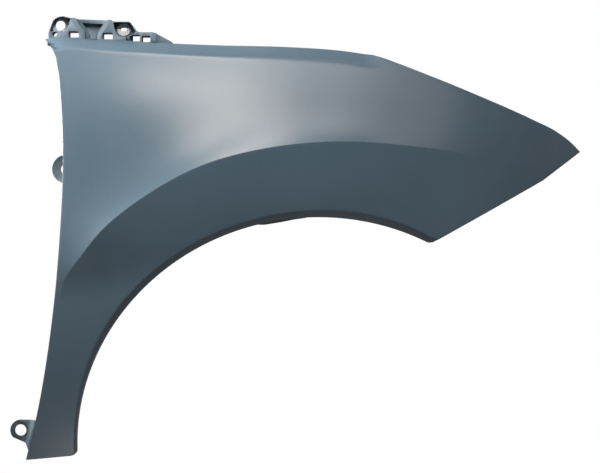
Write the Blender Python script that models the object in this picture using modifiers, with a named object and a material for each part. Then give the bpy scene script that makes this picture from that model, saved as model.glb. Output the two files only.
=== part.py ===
"""Right front fender of a family car, moulded in one piece in a tough plastic.

X runs forward along the car, Y inward from its side and Z up. While the panel is shaped, x and z
count from the wheel's axle line, and an inset counts inward from the widest plane of the body
side. An empty then carries everything to the panel's own origin, on the lower fixing tab.
All lengths are in metres.
"""

import math

import bmesh
import bpy
from mathutils import Vector
from mathutils.geometry import interpolate_bezier

# Wall of the moulding, and how deep each edge is turned inward
WALL = 0.003
ARCH_FLANGE = 0.022
DOOR_FLANGE = 0.014
HOOD_FLANGE = 0.020
LAMP_FLANGE = 0.016
BUMPER_FLANGE = 0.014
FOOT_FLANGE = 0.012
FOLD_RADIUS = 0.002

# Wheel arch: a flat ellipse round the axle, from the foot of the leg to the bumper corner
ARCH_HALF_WIDTH = 0.417
ARCH_RISE = 0.395
ARCH_DROP = 0.009
ARCH_FOOT_ANGLE = math.radians(182.0)
ARCH_FRONT_ANGLE = math.radians(62.2)
ARCH_PIECES = 90
FOOT_CORNER_RADIUS = 0.008
BUMPER_CORNER_RADIUS = 0.005

# Dark chamfer along the arch, narrower down the leg; it widens between two shares of the arch
LIP_WIDTH = 0.013
LIP_TURN = 0.011
LIP_LEG_SHARE = 0.2
LIP_WIDENS = (0.02, 0.40)

# Outline of the side, as (x, z) points that smooth curves pass through. The door edge counts x
# from the arch's rear end, and its top gives each height as a share of the rise from the door
# edge's last point to the hood corner
HOOD_HEIGHT = 0.7022
DOOR_EDGE = (
    (-0.0860, -0.0310),
    (-0.0655, 0.0480),
    (-0.0477, 0.1420),
    (-0.0345, 0.2410),
    (-0.0254, 0.3420),
)
DOOR_TOP = (
    (-0.0222, 0.3220),
    (-0.0242, 0.5025),
    (-0.0300, 0.6885),
    (-0.0375, 0.8329),
    (-0.0474, 0.9300),
    (-0.0663, 1.0000),
)
# The hood edge counts z from the hood corner's height, and x from the arch's rear end at first
HOOD_REAR = (
    (-0.0510, 0.0023),
    (0.0320, -0.0022),
)
HOOD_FRONT = (
    (-0.1800, -0.0122),
    (-0.0530, -0.0157),
    (0.0520, -0.0232),
    (0.0940, -0.0292),
)
# The lamp edge runs from the hood edge's end to the lamp's corner: each point gives its share of
# the straight way there and how high it lies above it
LAMP_CORNER = (0.4845, 0.5087)
LAMP_EDGE = (
    (0.0717, 0.0022),
    (0.2177, 0.0055),
    (0.4789, 0.0107),
    (0.7503, 0.0151),
    (0.8745, 0.0153),
    (0.9578, 0.0080),
)
# Line of the flare's crease, which runs out behind the leg and in front at the bumper. Its rear
# run counts x from the arch's rear end
CREASE_REAR = (
    (-0.0735, -0.0300),
    (-0.0565, 0.0390),
    (-0.0363, 0.1590),
    (-0.0250, 0.2490),
    (-0.0128, 0.2850),
    (0.0084, 0.3127),
    (0.0467, 0.3604),
    (0.1221, 0.4214),
)
CREASE_FRONT = (
    (-0.2021, 0.4725),
    (-0.0987, 0.5016),
    (0.0291, 0.5153),
    (0.1376, 0.5112),
    (0.2795, 0.4920),
    (0.4047, 0.4532),
)

# Curvature of the side: it leans in above the waist and below it, and sweeps in to the nose
WAIST_HEIGHT = 0.230
SIDE_RADIUS = 1.534
TUCK_RADIUS = 1.890
NOSE_START = -0.060
NOSE_REACH = 0.540
NOSE_SWEEP = 0.175
NOSE_POWER = 2.2
REAR_RADIUS = 18.0

# Flare round the arch: its step out at the crease, and how far above the step spreads
CREASE_STEP = 0.022
CREASE_SPREAD = 0.038
FLARE_RETURN = 1.1

# Shoulder strip under the hood edge, and the narrow band along the other edges
STRIP_HEIGHT = 0.022
STRIP_SLOPE = 0.80
STRIP_END = 0.116
STRIP_RUN_OUT = 0.040
EDGE_BAND = 0.006
# The strip's band is measured along the columns: least upward lean, and most share of a column
BAND_LEAN = 0.3
BAND_SHARE = 0.5

# How the lofted columns share out the three lines: count of columns in the run, then where the
# run ends on the outer edge (door 0 to 1, hood 1 to 2, lamp 2 to 3), the crease and the arch
COLUMN_RUNS = (
    (3, 0.02, 0.012, 0.012),
    (8, 0.39, 0.229, 0.358),
    (6, 0.65, 0.375, 0.523),
    (5, 0.88, 0.446, 0.604),
    (6, 1.00, 0.483, 0.646),
    (13, 2.00, 0.744, 0.857),
    (10, 2.95, 0.980, 0.975),
    (3, 3.00, 1.000, 1.000),
)
DOOR_RUNS = 5
# Where the crease's step fades in and out, as shares of the crease line
CREASE_FADE_IN = (0.222, 0.350)
CREASE_FADE_OUT = (0.680, 0.940)
CREASE_SAMPLE = 0.01
FLARE_ROWS = 4
BODY_ROWS = 9
ROW_GROWTH = 1.7

# Rear bracket above the hood edge: its places count from a point beside its round hole, which
# is placed from the panel's rear corner
BRACKET_FROM_CORNER = (0.0270, 0.0242)
BRACKET_SETBACK = 0.005
BRACKET_DEPTH = 0.022
BRACKET_FLOOR = 0.004
BRACKET_WEB = 0.008
BLOCK_CORNER = 0.003
POCKET_CORNER = 0.002
WEB_CORNER = 0.004
CORNER_SHARE = 0.45
BRACKET_OUTLINE = (
    (-0.0223, -0.0150),
    (-0.0187, -0.0044),
    (-0.0134, 0.0099),
    (-0.0046, 0.0157),
    (0.0042, 0.0169),
    (0.0184, 0.0136),
    (0.0233, 0.0141),
    (0.0272, 0.0125),
    (0.0855, 0.0101),
    (0.0896, 0.0104),
    (0.0926, 0.0071),
    (0.1223, 0.0069),
    (0.1252, 0.0038),
    (0.1356, -0.0107),
    (0.1421, -0.0119),
    (0.1645, -0.0118),
    (0.1845, -0.0221),
    (0.1990, -0.0300),
    (0.1990, -0.0440),
    (-0.0200, -0.0370),
)
ROUND_HOLE_AT = (-0.0034, 0.0028)
ROUND_HOLE_RADIUS = 0.0088
SMALL_HOLE_AT = (-0.0106, -0.0150)
SMALL_HOLE_RADIUS = 0.0044
WINDOW_CORNER = 0.0015
# Windows through the bracket: left, right, bottom, top
WINDOWS = (
    (0.0143, 0.0321, -0.0212, -0.0103),
    (0.0744, 0.0923, -0.0242, -0.0129),
    (0.1260, 0.1403, -0.0280, -0.0162),
    (0.1439, 0.1589, -0.0292, -0.0187),
)
SHADE_POCKET = (0.1156, 0.1300, -0.0270, -0.0180)
SHADE_POCKET_DEPTH = 0.014
ROUND_POCKET = (
    (-0.0170, -0.0104),
    (-0.0124, 0.0044),
    (-0.0046, 0.0120),
    (0.0051, 0.0133),
    (0.0184, 0.0101),
    (0.0141, 0.0009),
    (0.0095, -0.0104),
)
WEB_POCKET = (
    (0.0290, 0.0186),
    (0.0293, 0.0097),
    (0.0334, 0.0000),
    (0.0428, -0.0097),
    (0.0442, -0.0320),
    (0.0643, -0.0320),
    (0.0647, -0.0147),
    (0.0723, -0.0051),
    (0.0825, 0.0064),
    (0.0846, 0.0186),
)
FUNNEL_POCKET = (
    (0.0375, 0.0058),
    (0.0746, 0.0037),
    (0.0624, -0.0124),
    (0.0613, -0.0221),
    (0.0500, -0.0221),
    (0.0491, -0.0150),
)
PAD_POCKET = (
    (0.0944, 0.0036),
    (0.1205, 0.0036),
    (0.1230, 0.0012),
    (0.1315, -0.0122),
    (0.1244, -0.0172),
    (0.1120, -0.0203),
    (0.1032, -0.0177),
    (0.0972, -0.0106),
    (0.0947, -0.0027),
)
# Hollows that core the bracket out from its back, down to a wall behind its front or its web
LEFT_ARM_HOLLOW = (
    (0.0215, 0.0095),
    (0.0262, 0.0085),
    (0.0300, -0.0010),
    (0.0318, -0.0072),
    (0.0140, -0.0072),
    (0.0168, 0.0008),
)
RIGHT_ARM_HOLLOW = (
    (0.0862, 0.0056),
    (0.0912, 0.0056),
    (0.0915, -0.0030),
    (0.0933, -0.0098),
    (0.0790, -0.0098),
    (0.0800, -0.0030),
)
END_HOLLOW = (
    (0.1622, -0.0275),
    (0.1622, -0.0154),
    (0.1648, -0.0154),
    (0.1836, -0.0252),
    (0.1868, -0.0275),
)
FOOT_HOLLOW = (
    (-0.0035, -0.0195),
    (-0.0035, -0.0135),
    (0.0112, -0.0135),
    (0.0112, -0.0195),
)
LEFT_WEB_HOLLOW = (
    (0.0355, -0.0195),
    (0.0355, -0.0070),
    (0.0395, -0.0070),
    (0.0460, -0.0160),
    (0.0468, -0.0195),
)
RIGHT_WEB_HOLLOW = (
    (0.0655, -0.0140),
    (0.0712, -0.0085),
    (0.0712, -0.0200),
    (0.0648, -0.0200),
)
PAD_AT = (0.1098, -0.0044)
PAD_RADIUS = 0.0122
PAD_HEIGHT = 0.002
SLOT_LENGTH = 0.0118
SLOT_WIDTH = 0.0064
END_BLOCK = (0.1597, 0.1702, -0.0300, -0.0133)
END_BLOCK_HEIGHT = 0.0015
CORNER_LUG_DROP = 0.0110
CORNER_LUG_RADIUS = 0.0028
CORNER_LUG_LENGTH = 0.010
CORNER_LUG_SIDES = 16

# Round tab half way up the door edge, behind the flange
SIDE_TAB_HEIGHT = 0.4688
SIDE_TAB_RADIUS = 0.025
SIDE_TAB_HOLE_RADIUS = 0.0103
SIDE_TAB_INBOARD = 0.005
SIDE_TAB_RIM = 0.002
SIDE_TAB_SIDES = 40

# Low tab under the top of the arch: angles along the arch, and how far it hangs below the edge
ARCH_TAB_ANGLE = 99.0
ARCH_TAB_DROPS = (
    (104.5, 0.0005),
    (103.0, 0.0030),
    (ARCH_TAB_ANGLE, 0.0036),
    (96.0, 0.0020),
    (93.0, 0.0005),
)
ARCH_TAB_DEPTH = 0.006

# Lower tab at the foot, with a joggle beside the door edge
LOWER_TAB_HEIGHT = 0.0195
LOWER_TAB_REACH = 0.0238
LOWER_TAB_RADIUS = 0.0179
LOWER_TAB_HOLE_RADIUS = 0.0098
LOWER_TAB_INSET = 0.014
# The bent strip that the tab is cut from reaches this far up and down along the door edge
LOWER_TAB_STRIP = 0.040
# The tab's outline: top edge above the hole, and two points of its underside from the door edge
LOWER_TAB_TOP = 0.0170
LOWER_TAB_UNDERSIDE = ((-0.0155, -0.0217), (-0.0080, -0.0365))
LOWER_TAB_ARC = 135
LOWER_TAB_ARC_PIECES = 18
JOGGLE_INSET = 0.008
JOGGLE_START = 0.003
JOGGLE_END = 0.011

HOLE_SIDES = 28
CUT_CLEARANCE = 0.004

# Satin blue-grey plastic
PLASTIC_COLOUR = (0.085, 0.118, 0.145, 1)
PLASTIC_ROUGHNESS = 0.42
SHARP_ANGLE = math.radians(30)


def smooth_step(value, start, end):
    """Rises gently from 0 at start to 1 at end."""
    share = min(max((value - start) / (end - start), 0.0), 1.0)
    return share * share * (3 - 2 * share)


def smooth_line(points, pieces=10):
    """A smooth curve through the points, as a dense run of short straights."""
    knots = [Vector(point) for point in points]
    tangents = []
    for index, knot in enumerate(knots):
        before = knots[max(index - 1, 0)]
        after = knots[min(index + 1, len(knots) - 1)]
        lead = (knot - before).length
        follow = (after - knot).length
        if lead == 0 or follow == 0:
            tangents.append((after - before).normalized())
            continue
        tangents.append(((after - knot) * lead / follow + (knot - before) * follow / lead).normalized())
    line = [knots[0]]
    for index in range(len(knots) - 1):
        reach = (knots[index + 1] - knots[index]).length / 3
        handles = (tangents[index] * reach, tangents[index + 1] * reach)
        stretch = interpolate_bezier(
            knots[index].to_3d(),
            (knots[index] + handles[0]).to_3d(),
            (knots[index + 1] - handles[1]).to_3d(),
            knots[index + 1].to_3d(),
            pieces + 1,
        )
        line.extend(point.to_2d() for point in stretch[1:])
    return line


def moved(outline, place):
    return [(x + place[0], z + place[1]) for x, z in outline]


def side_lines():
    """The door, hood and lamp edges and the crease, each a smooth line from the rear or the foot."""
    rear = -ARCH_HALF_WIDTH
    low = DOOR_EDGE[-1][1]
    top = [(x, low + (HOOD_HEIGHT - low) * share) for x, share in DOOR_TOP]
    door = moved([*DOOR_EDGE, *top], (rear, 0))
    hood = [door[-1], *moved(HOOD_REAR, (rear, HOOD_HEIGHT)), *moved(HOOD_FRONT, (0, HOOD_HEIGHT))]
    start = Vector(hood[-1])
    corner = Vector(LAMP_CORNER)
    lamp = [start.lerp(corner, share) + Vector((0, rise)) for share, rise in LAMP_EDGE]
    lamp = [start, *lamp, corner]
    crease = [*moved(CREASE_REAR, (rear, 0)), *CREASE_FRONT]
    return [smooth_line(points) for points in (door, hood, lamp)], smooth_line(crease)


def point_on(line, share):
    """The point at a share of the line's length."""
    lengths = [(line[i + 1] - line[i]).length for i in range(len(line) - 1)]
    left = share * sum(lengths)
    for index, length in enumerate(lengths):
        if left <= length:
            return line[index].lerp(line[index + 1], left / length)
        left -= length
    return line[-1].copy()


def height_on(line, x):
    """Height of a line that runs along X, held level past its ends."""
    if x <= line[0].x:
        return line[0].y
    for start, end in zip(line, line[1:]):
        if start.x <= x <= end.x and end.x > start.x:
            return start.lerp(end, (x - start.x) / (end.x - start.x)).y
    return line[-1].y


def edge_at_height(line, z):
    """Where a line that runs upward passes a height."""
    for start, end in zip(line, line[1:]):
        if start.y <= z <= end.y:
            return start.lerp(end, (z - start.y) / (end.y - start.y)).x
    return line[-1].x


def corner_arc(before, corner, after, radius, pieces=4):
    """Points round a corner, between two places a radius away from it."""
    start = corner + (before - corner).normalized() * radius
    end = corner + (after - corner).normalized() * radius
    points = []
    for index in range(pieces + 1):
        share = index / pieces
        points.append(start.lerp(corner, share).lerp(corner.lerp(end, share), share))
    return points


def arch_point(angle, outward=0.0):
    """A point of the arch, or of a like curve that lies further out."""
    return Vector(
        (
            (ARCH_HALF_WIDTH + outward) * math.cos(angle),
            (ARCH_RISE + outward) * math.sin(angle) - ARCH_DROP,
        )
    )


def arch_line(foot_end, bumper_end):
    """The arch from the foot's edge to the bumper's edge, with both corners rounded."""
    foot_corner = arch_point(ARCH_FOOT_ANGLE)
    bumper_corner = arch_point(ARCH_FRONT_ANGLE)
    foot_angle = ARCH_FOOT_ANGLE - FOOT_CORNER_RADIUS / ARCH_HALF_WIDTH
    bumper_angle = ARCH_FRONT_ANGLE + BUMPER_CORNER_RADIUS / ARCH_HALF_WIDTH
    line = corner_arc(foot_end, foot_corner, arch_point(foot_angle), FOOT_CORNER_RADIUS)
    for index in range(1, ARCH_PIECES):
        line.append(arch_point(foot_angle + (bumper_angle - foot_angle) * index / ARCH_PIECES))
    line += corner_arc(
        arch_point(bumper_angle), bumper_corner, bumper_end, BUMPER_CORNER_RADIUS
    )
    return line


def side_inset(x, z):
    """How far in the plain body side lies at a place, without the flare."""
    if z > WAIST_HEIGHT:
        inset = (z - WAIST_HEIGHT) ** 2 / (2 * SIDE_RADIUS)
    else:
        inset = (WAIST_HEIGHT - z) ** 2 / (2 * TUCK_RADIUS)
    if x > NOSE_START:
        inset += NOSE_SWEEP * ((x - NOSE_START) / NOSE_REACH) ** NOSE_POWER
    else:
        inset += (NOSE_START - x) ** 2 / (2 * REAR_RADIUS)
    return inset


def shoulder_height(hood, x):
    """Height of the line under the shoulder strip."""
    fade = smooth_step(x, STRIP_END - STRIP_RUN_OUT, STRIP_END)
    return height_on(hood, x) - STRIP_HEIGHT * (1 - fade)


def column_places():
    """For each lofted column, its places on the outer edge, the crease and the arch."""
    places = [(0.0, 0.0, 0.0)]
    for count, *ends in COLUMN_RUNS:
        start = places[-1]
        for step in range(1, count + 1):
            places.append(tuple(a + (b - a) * step / count for a, b in zip(start, ends)))
    return places


def surface_columns(edges, crease, arch):
    """Points of the side's outer surface, one column from the arch outward at a time."""
    hood = edges[1]
    columns = []
    for outer_place, crease_place, arch_place in column_places():
        run = min(int(outer_place), len(edges) - 1)
        edge = point_on(edges[run], outer_place - run)
        fold = point_on(crease, crease_place)
        rim = point_on(arch, arch_place)
        outward = (edge - fold).normalized()
        ahead = point_on(crease, min(crease_place + CREASE_SAMPLE, 1))
        behind = point_on(crease, max(crease_place - CREASE_SAMPLE, 0))
        across = abs(outward.cross((ahead - behind).normalized()))
        step = CREASE_STEP * smooth_step(crease_place, *CREASE_FADE_IN)
        step *= 1 - smooth_step(crease_place, *CREASE_FADE_OUT)

        lip_share = LIP_LEG_SHARE + (1 - LIP_LEG_SHARE) * smooth_step(arch_place, *LIP_WIDENS)
        lip = rim + (fold - rim).normalized() * LIP_WIDTH * lip_share
        rise = 0.0
        if edge.x < STRIP_END:
            rise = max(edge.y - shoulder_height(hood, edge.x), 0.0)
        band = max(EDGE_BAND, rise / max(outward.y, BAND_LEAN))
        band = min(band, (edge - fold).length * BAND_SHARE)
        shoulder = edge - outward * band

        column = []
        for row in range(FLARE_ROWS + 1):
            share = row / FLARE_ROWS
            place = lip.lerp(fold, share)
            inset = side_inset(*place) - step * (1 - FLARE_RETURN * (1 - share))
            column.append(Vector((place.x, inset, place.y)))
        rim_inset = column[0].y + LIP_TURN * lip_share
        column.insert(0, Vector((rim.x, rim_inset, rim.y)))
        for row in range(1, BODY_ROWS + 1):
            share = (row / BODY_ROWS) ** ROW_GROWTH
            place = fold.lerp(shoulder, share)
            away = (place - fold).length * across
            inset = side_inset(*place) - step * math.exp(-away / CREASE_SPREAD)
            column.append(Vector((place.x, inset, place.y)))
        away = (edge - fold).length * across
        inset = side_inset(*edge) - step * math.exp(-away / CREASE_SPREAD) + STRIP_SLOPE * rise
        column.append(Vector((edge.x, inset, edge.y)))
        columns.append(column)
    return columns


def flange_depth(column, row, columns, rows):
    """Depth that the edge at a place of the loft's border is turned inward."""
    depths = []
    outer_place = column_places()[column][0]
    if row == 0:
        depths.append(ARCH_FLANGE)
    if row == rows - 1:
        depths.append((DOOR_FLANGE, HOOD_FLANGE, LAMP_FLANGE)[min(int(outer_place), 2)])
    if column == 0:
        depths.append(FOOT_FLANGE)
    if column == columns - 1:
        depths.append(BUMPER_FLANGE)
    return sum(depths) / len(depths)


def make_skin(name, columns, collection):
    """The side as an open sheet with its edges turned inward, given its wall by a modifier."""
    mesh = bpy.data.meshes.new(name)
    shape = bmesh.new()
    grid = [[shape.verts.new(point) for point in column] for column in columns]
    count = len(grid)
    rows = len(grid[0])
    for i in range(count - 1):
        for j in range(rows - 1):
            shape.faces.new((grid[i][j], grid[i][j + 1], grid[i + 1][j + 1], grid[i + 1][j]))
    border = [(i, 0) for i in range(count)]
    border += [(count - 1, j) for j in range(1, rows)]
    border += [(i, rows - 1) for i in range(count - 2, -1, -1)]
    border += [(0, j) for j in range(rows - 2, 0, -1)]
    turned = []
    for i, j in border:
        inward = Vector((0, flange_depth(i, j, count, rows), 0))
        turned.append(shape.verts.new(grid[i][j].co + inward))
    for k, (i, j) in enumerate(border):
        following = (k + 1) % len(border)
        a, b = border[following]
        shape.faces.new((grid[i][j], grid[a][b], turned[following], turned[k]))
    bmesh.ops.recalc_face_normals(shape, faces=shape.faces)
    weights = shape.edges.layers.float.new("bevel_weight_edge")
    corners = [grid[i][j] for i, j in border]
    for start, end in zip(corners, corners[1:] + corners[:1]):
        shape.edges.get((start, end))[weights] = 1.0
    middle = grid[count // 2][rows // 2]
    if middle.link_faces[0].normal.y > 0:
        bmesh.ops.reverse_faces(shape, faces=shape.faces)
    shape.to_mesh(mesh)
    shape.free()
    skin = bpy.data.objects.new(name, mesh)
    collection.objects.link(skin)
    fold = skin.modifiers.new("rounded_folds", "BEVEL")
    fold.width = FOLD_RADIUS
    fold.segments = 2
    fold.limit_method = "WEIGHT"
    fold.use_clamp_overlap = True
    wall = skin.modifiers.new("wall", "SOLIDIFY")
    wall.thickness = WALL
    wall.offset = -1
    wall.use_even_offset = True
    wall.use_quality_normals = True
    return skin


def prism(name, outline, front, back, collection):
    """A flat outline in the plane of the side, from one inset to another."""
    curve = bpy.data.curves.new(name, "CURVE")
    curve.dimensions = "2D"
    curve.fill_mode = "BOTH"
    curve.extrude = (back - front) / 2
    spline = curve.splines.new("POLY")
    spline.points.add(len(outline) - 1)
    for point, place in zip(spline.points, outline):
        point.co = (place[0], place[1], 0, 1)
    spline.use_cyclic_u = True
    drawn = bpy.data.objects.new(name, curve)
    drawn.rotation_euler = (math.pi / 2, 0, 0)
    drawn.location = (0, (front + back) / 2, 0)
    collection.objects.link(drawn)
    bpy.context.view_layer.update()
    evaluated = drawn.evaluated_get(bpy.context.evaluated_depsgraph_get())
    mesh = bpy.data.meshes.new_from_object(evaluated)
    mesh.transform(drawn.matrix_world)
    bpy.data.objects.remove(drawn)
    shape = bmesh.new()
    shape.from_mesh(mesh)
    bmesh.ops.remove_doubles(shape, verts=shape.verts, dist=0.00001)
    bmesh.ops.recalc_face_normals(shape, faces=shape.faces)
    shape.to_mesh(mesh)
    shape.free()
    mesh.name = name
    solid = bpy.data.objects.new(name, mesh)
    collection.objects.link(solid)
    solid.hide_render = True
    solid.display_type = "WIRE"
    return solid


def ring(centre, radius, sides=HOLE_SIDES):
    turns = (2 * math.pi * index / sides for index in range(sides))
    return [(centre[0] + radius * math.cos(a), centre[1] + radius * math.sin(a)) for a in turns]


def rounded(corners, radius, pieces=3):
    """A closed outline with each corner rounded off."""
    points = []
    knots = [Vector(corner) for corner in corners]
    for index, corner in enumerate(knots):
        before = knots[index - 1]
        after = knots[(index + 1) % len(knots)]
        shortest = min((before - corner).length, (after - corner).length)
        points += corner_arc(before, corner, after, min(radius, shortest * CORNER_SHARE), pieces)
    return [tuple(point) for point in points]


def oblong(left, right, bottom, top, radius):
    return rounded(((left, bottom), (right, bottom), (right, top), (left, top)), radius)


def slot_outline(centre, length, width, sides=HOLE_SIDES):
    """A slot with round ends that lies along X."""
    half = (length - width) / 2
    points = []
    for index in range(sides):
        turn = 2 * math.pi * (index + 0.5) / sides
        side = half if math.cos(turn) > 0 else -half
        x = centre[0] + side + width / 2 * math.cos(turn)
        points.append((x, centre[1] + width / 2 * math.sin(turn)))
    return points


def combine(target, tool, operation):
    step = target.modifiers.new(tool.name, "BOOLEAN")
    step.operation = operation
    step.object = tool
    step.solver = "MANIFOLD"


def make_bracket(corner, front, collection):
    """Rear bracket: a deep moulded block, opened by pockets, windows, holes and hollows."""
    back = front + BRACKET_DEPTH
    floor = back - BRACKET_FLOOR
    before = front - END_BLOCK_HEIGHT - CUT_CLEARANCE
    behind = back + CUT_CLEARANCE
    place = corner + Vector(BRACKET_FROM_CORNER)

    def part(name, outline, start, end):
        return prism(name, moved(outline, place), start, end, collection)

    block = part("bracket_block", rounded(BRACKET_OUTLINE, BLOCK_CORNER), front, back)
    raised = front - END_BLOCK_HEIGHT
    end_block = part("end_block", oblong(*END_BLOCK, WINDOW_CORNER), raised, front + WALL / 2)
    combine(block, end_block, "UNION")
    pockets = (
        ("round_pocket", rounded(ROUND_POCKET, POCKET_CORNER), floor),
        ("web_pocket", rounded(WEB_POCKET, WEB_CORNER), front + BRACKET_WEB),
        ("funnel_pocket", rounded(FUNNEL_POCKET, WINDOW_CORNER), floor),
        ("pad_pocket", rounded(PAD_POCKET, POCKET_CORNER), floor),
        ("shade_pocket", oblong(*SHADE_POCKET, WINDOW_CORNER), front + SHADE_POCKET_DEPTH),
    )
    for name, outline, depth in pockets:
        combine(block, part(name, outline, before, depth), "DIFFERENCE")
    hollows = (
        ("left_arm_hollow", LEFT_ARM_HOLLOW, front + WALL),
        ("right_arm_hollow", RIGHT_ARM_HOLLOW, front + WALL),
        ("end_hollow", END_HOLLOW, front + WALL),
        ("foot_hollow", FOOT_HOLLOW, front + WALL),
        ("left_web_hollow", LEFT_WEB_HOLLOW, front + BRACKET_WEB + WALL),
        ("right_web_hollow", RIGHT_WEB_HOLLOW, front + BRACKET_WEB + WALL),
    )
    for name, outline, depth in hollows:
        hollow = part(name, rounded(outline, WINDOW_CORNER), depth, behind)
        combine(block, hollow, "DIFFERENCE")
    pad = part("round_pad", ring(PAD_AT, PAD_RADIUS), floor - PAD_HEIGHT, floor + BRACKET_FLOOR / 2)
    combine(block, pad, "UNION")
    for index, window in enumerate(WINDOWS):
        opening = part(f"window_{index + 1}", oblong(*window, WINDOW_CORNER), before, behind)
        combine(block, opening, "DIFFERENCE")
    holes = (
        ("round_hole", ring(ROUND_HOLE_AT, ROUND_HOLE_RADIUS)),
        ("small_hole", ring(SMALL_HOLE_AT, SMALL_HOLE_RADIUS)),
        ("pad_slot", slot_outline(PAD_AT, SLOT_LENGTH, SLOT_WIDTH)),
    )
    for name, outline in holes:
        combine(block, part(name, outline, before, behind), "DIFFERENCE")
    return block


def make_corner_lug(edge, inset, collection):
    """Small round lug under the rear corner, on the door flange."""
    outline = ring(edge, CORNER_LUG_RADIUS, CORNER_LUG_SIDES)
    return prism("corner_lug", outline, inset, inset + CORNER_LUG_LENGTH, collection)


def make_side_tab(door, collection):
    """Round tab with a low rim, on the inner end of the door flange."""
    edge_x = edge_at_height(door, SIDE_TAB_HEIGHT)
    centre = (edge_x + SIDE_TAB_INBOARD, SIDE_TAB_HEIGHT)
    back = side_inset(edge_x, SIDE_TAB_HEIGHT) + DOOR_FLANGE
    front = back - WALL
    disc = ring(centre, SIDE_TAB_RADIUS, SIDE_TAB_SIDES)
    tab = prism("side_tab", disc, front - SIDE_TAB_RIM, back, collection)
    dish = ring(centre, SIDE_TAB_RADIUS - WALL, SIDE_TAB_SIDES)
    combine(tab, prism("side_tab_dish", dish, front - CUT_CLEARANCE, front, collection), "DIFFERENCE")
    hole = ring(centre, SIDE_TAB_HOLE_RADIUS)
    drill = prism("side_tab_hole", hole, front - SIDE_TAB_RIM, back + CUT_CLEARANCE, collection)
    return tab, drill


def make_arch_tab(columns, collection):
    """Low tab on the inner end of the arch flange, where the wheel liner is fixed."""
    middle = arch_point(math.radians(ARCH_TAB_ANGLE))
    nearest = min(columns, key=lambda column: abs(column[0].x - middle.x))
    back = nearest[0].y + ARCH_FLANGE
    outline = []
    for angle, drop in ARCH_TAB_DROPS:
        outline.append(arch_point(math.radians(angle), -drop))
    for angle, drop in reversed(ARCH_TAB_DROPS):
        outline.append(arch_point(math.radians(angle), WALL))
    return prism("arch_tab", outline, back - ARCH_TAB_DEPTH, back, collection)


def lower_tab_centre(door):
    edge_x = edge_at_height(door, LOWER_TAB_HEIGHT)
    return Vector((edge_x - LOWER_TAB_REACH, LOWER_TAB_HEIGHT))


def lower_tab_face_inset(door):
    edge_x = edge_at_height(door, LOWER_TAB_HEIGHT)
    return side_inset(edge_x, LOWER_TAB_HEIGHT) + LOWER_TAB_INSET


def make_lower_tab(door, collection):
    """Lower tab: a bent strip with a joggle, trimmed to a round end with its hole."""
    centre = lower_tab_centre(door)
    edge_x = edge_at_height(door, LOWER_TAB_HEIGHT)
    face = lower_tab_face_inset(door)
    near = face - LOWER_TAB_INSET + JOGGLE_INSET
    below = edge_at_height(door, LOWER_TAB_HEIGHT - LOWER_TAB_STRIP / 2)
    above = edge_at_height(door, LOWER_TAB_HEIGHT + LOWER_TAB_STRIP / 2)
    along = Vector((above - below, 0, LOWER_TAB_STRIP)).normalized()

    reach = LOWER_TAB_REACH + LOWER_TAB_RADIUS + CUT_CLEARANCE
    inner = -2 * WALL
    section = (
        (inner, near),
        (JOGGLE_START, near),
        (JOGGLE_END, face),
        (reach, face),
        (reach, face + WALL),
        (JOGGLE_END - WALL / 2, face + WALL),
        (JOGGLE_START - WALL / 2, near + WALL),
        (inner, near + WALL),
    )
    shape = bmesh.new()
    ends = []
    for side in (-1, 1):
        foot = Vector((edge_x, 0, LOWER_TAB_HEIGHT)) + along * LOWER_TAB_STRIP * side
        ends.append([shape.verts.new((foot.x - out, inset, foot.z)) for out, inset in section])
    count = len(section)
    for k in range(count):
        following = (k + 1) % count
        shape.faces.new((ends[0][k], ends[0][following], ends[1][following], ends[1][k]))
    shape.faces.new(list(reversed(ends[0])))
    shape.faces.new(ends[1])
    bmesh.ops.recalc_face_normals(shape, faces=shape.faces)
    mesh = bpy.data.meshes.new("lower_tab")
    shape.to_mesh(mesh)
    shape.free()
    tab = bpy.data.objects.new("lower_tab", mesh)
    tab.hide_render = True
    tab.display_type = "WIRE"
    collection.objects.link(tab)

    outline = []
    for index in range(LOWER_TAB_ARC_PIECES + 1):
        turn = math.radians(90 + LOWER_TAB_ARC * index / LOWER_TAB_ARC_PIECES)
        x = centre.x + LOWER_TAB_RADIUS * math.cos(turn)
        outline.append((x, centre.y + LOWER_TAB_RADIUS * math.sin(turn)))
    underside = moved(LOWER_TAB_UNDERSIDE, (edge_x, LOWER_TAB_HEIGHT))
    inner_x = edge_x + 4 * WALL
    outline += [*underside, (inner_x, underside[-1][1]), (inner_x, LOWER_TAB_HEIGHT + LOWER_TAB_TOP)]
    trim = prism("lower_tab_trim", outline, near - WALL, face + 2 * WALL, collection)
    combine(tab, trim, "INTERSECT")
    hole = ring(centre, LOWER_TAB_HOLE_RADIUS)
    drill = prism("lower_tab_hole", hole, face - CUT_CLEARANCE, face + WALL + CUT_CLEARANCE, collection)
    return tab, drill


def finish(panel):
    """The plastic's colour and sheen, and smooth shading between the real edges."""
    material = bpy.data.materials.new("moulded_plastic")
    material.use_nodes = True
    shader = material.node_tree.nodes["Principled BSDF"]
    shader.inputs["Base Color"].default_value = PLASTIC_COLOUR
    shader.inputs["Roughness"].default_value = PLASTIC_ROUGHNESS
    shader.inputs["Metallic"].default_value = 0.0
    panel.data.materials.append(material)
    panel.data.shade_smooth()
    panel.data.set_sharp_from_angle(angle=SHARP_ANGLE)


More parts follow.
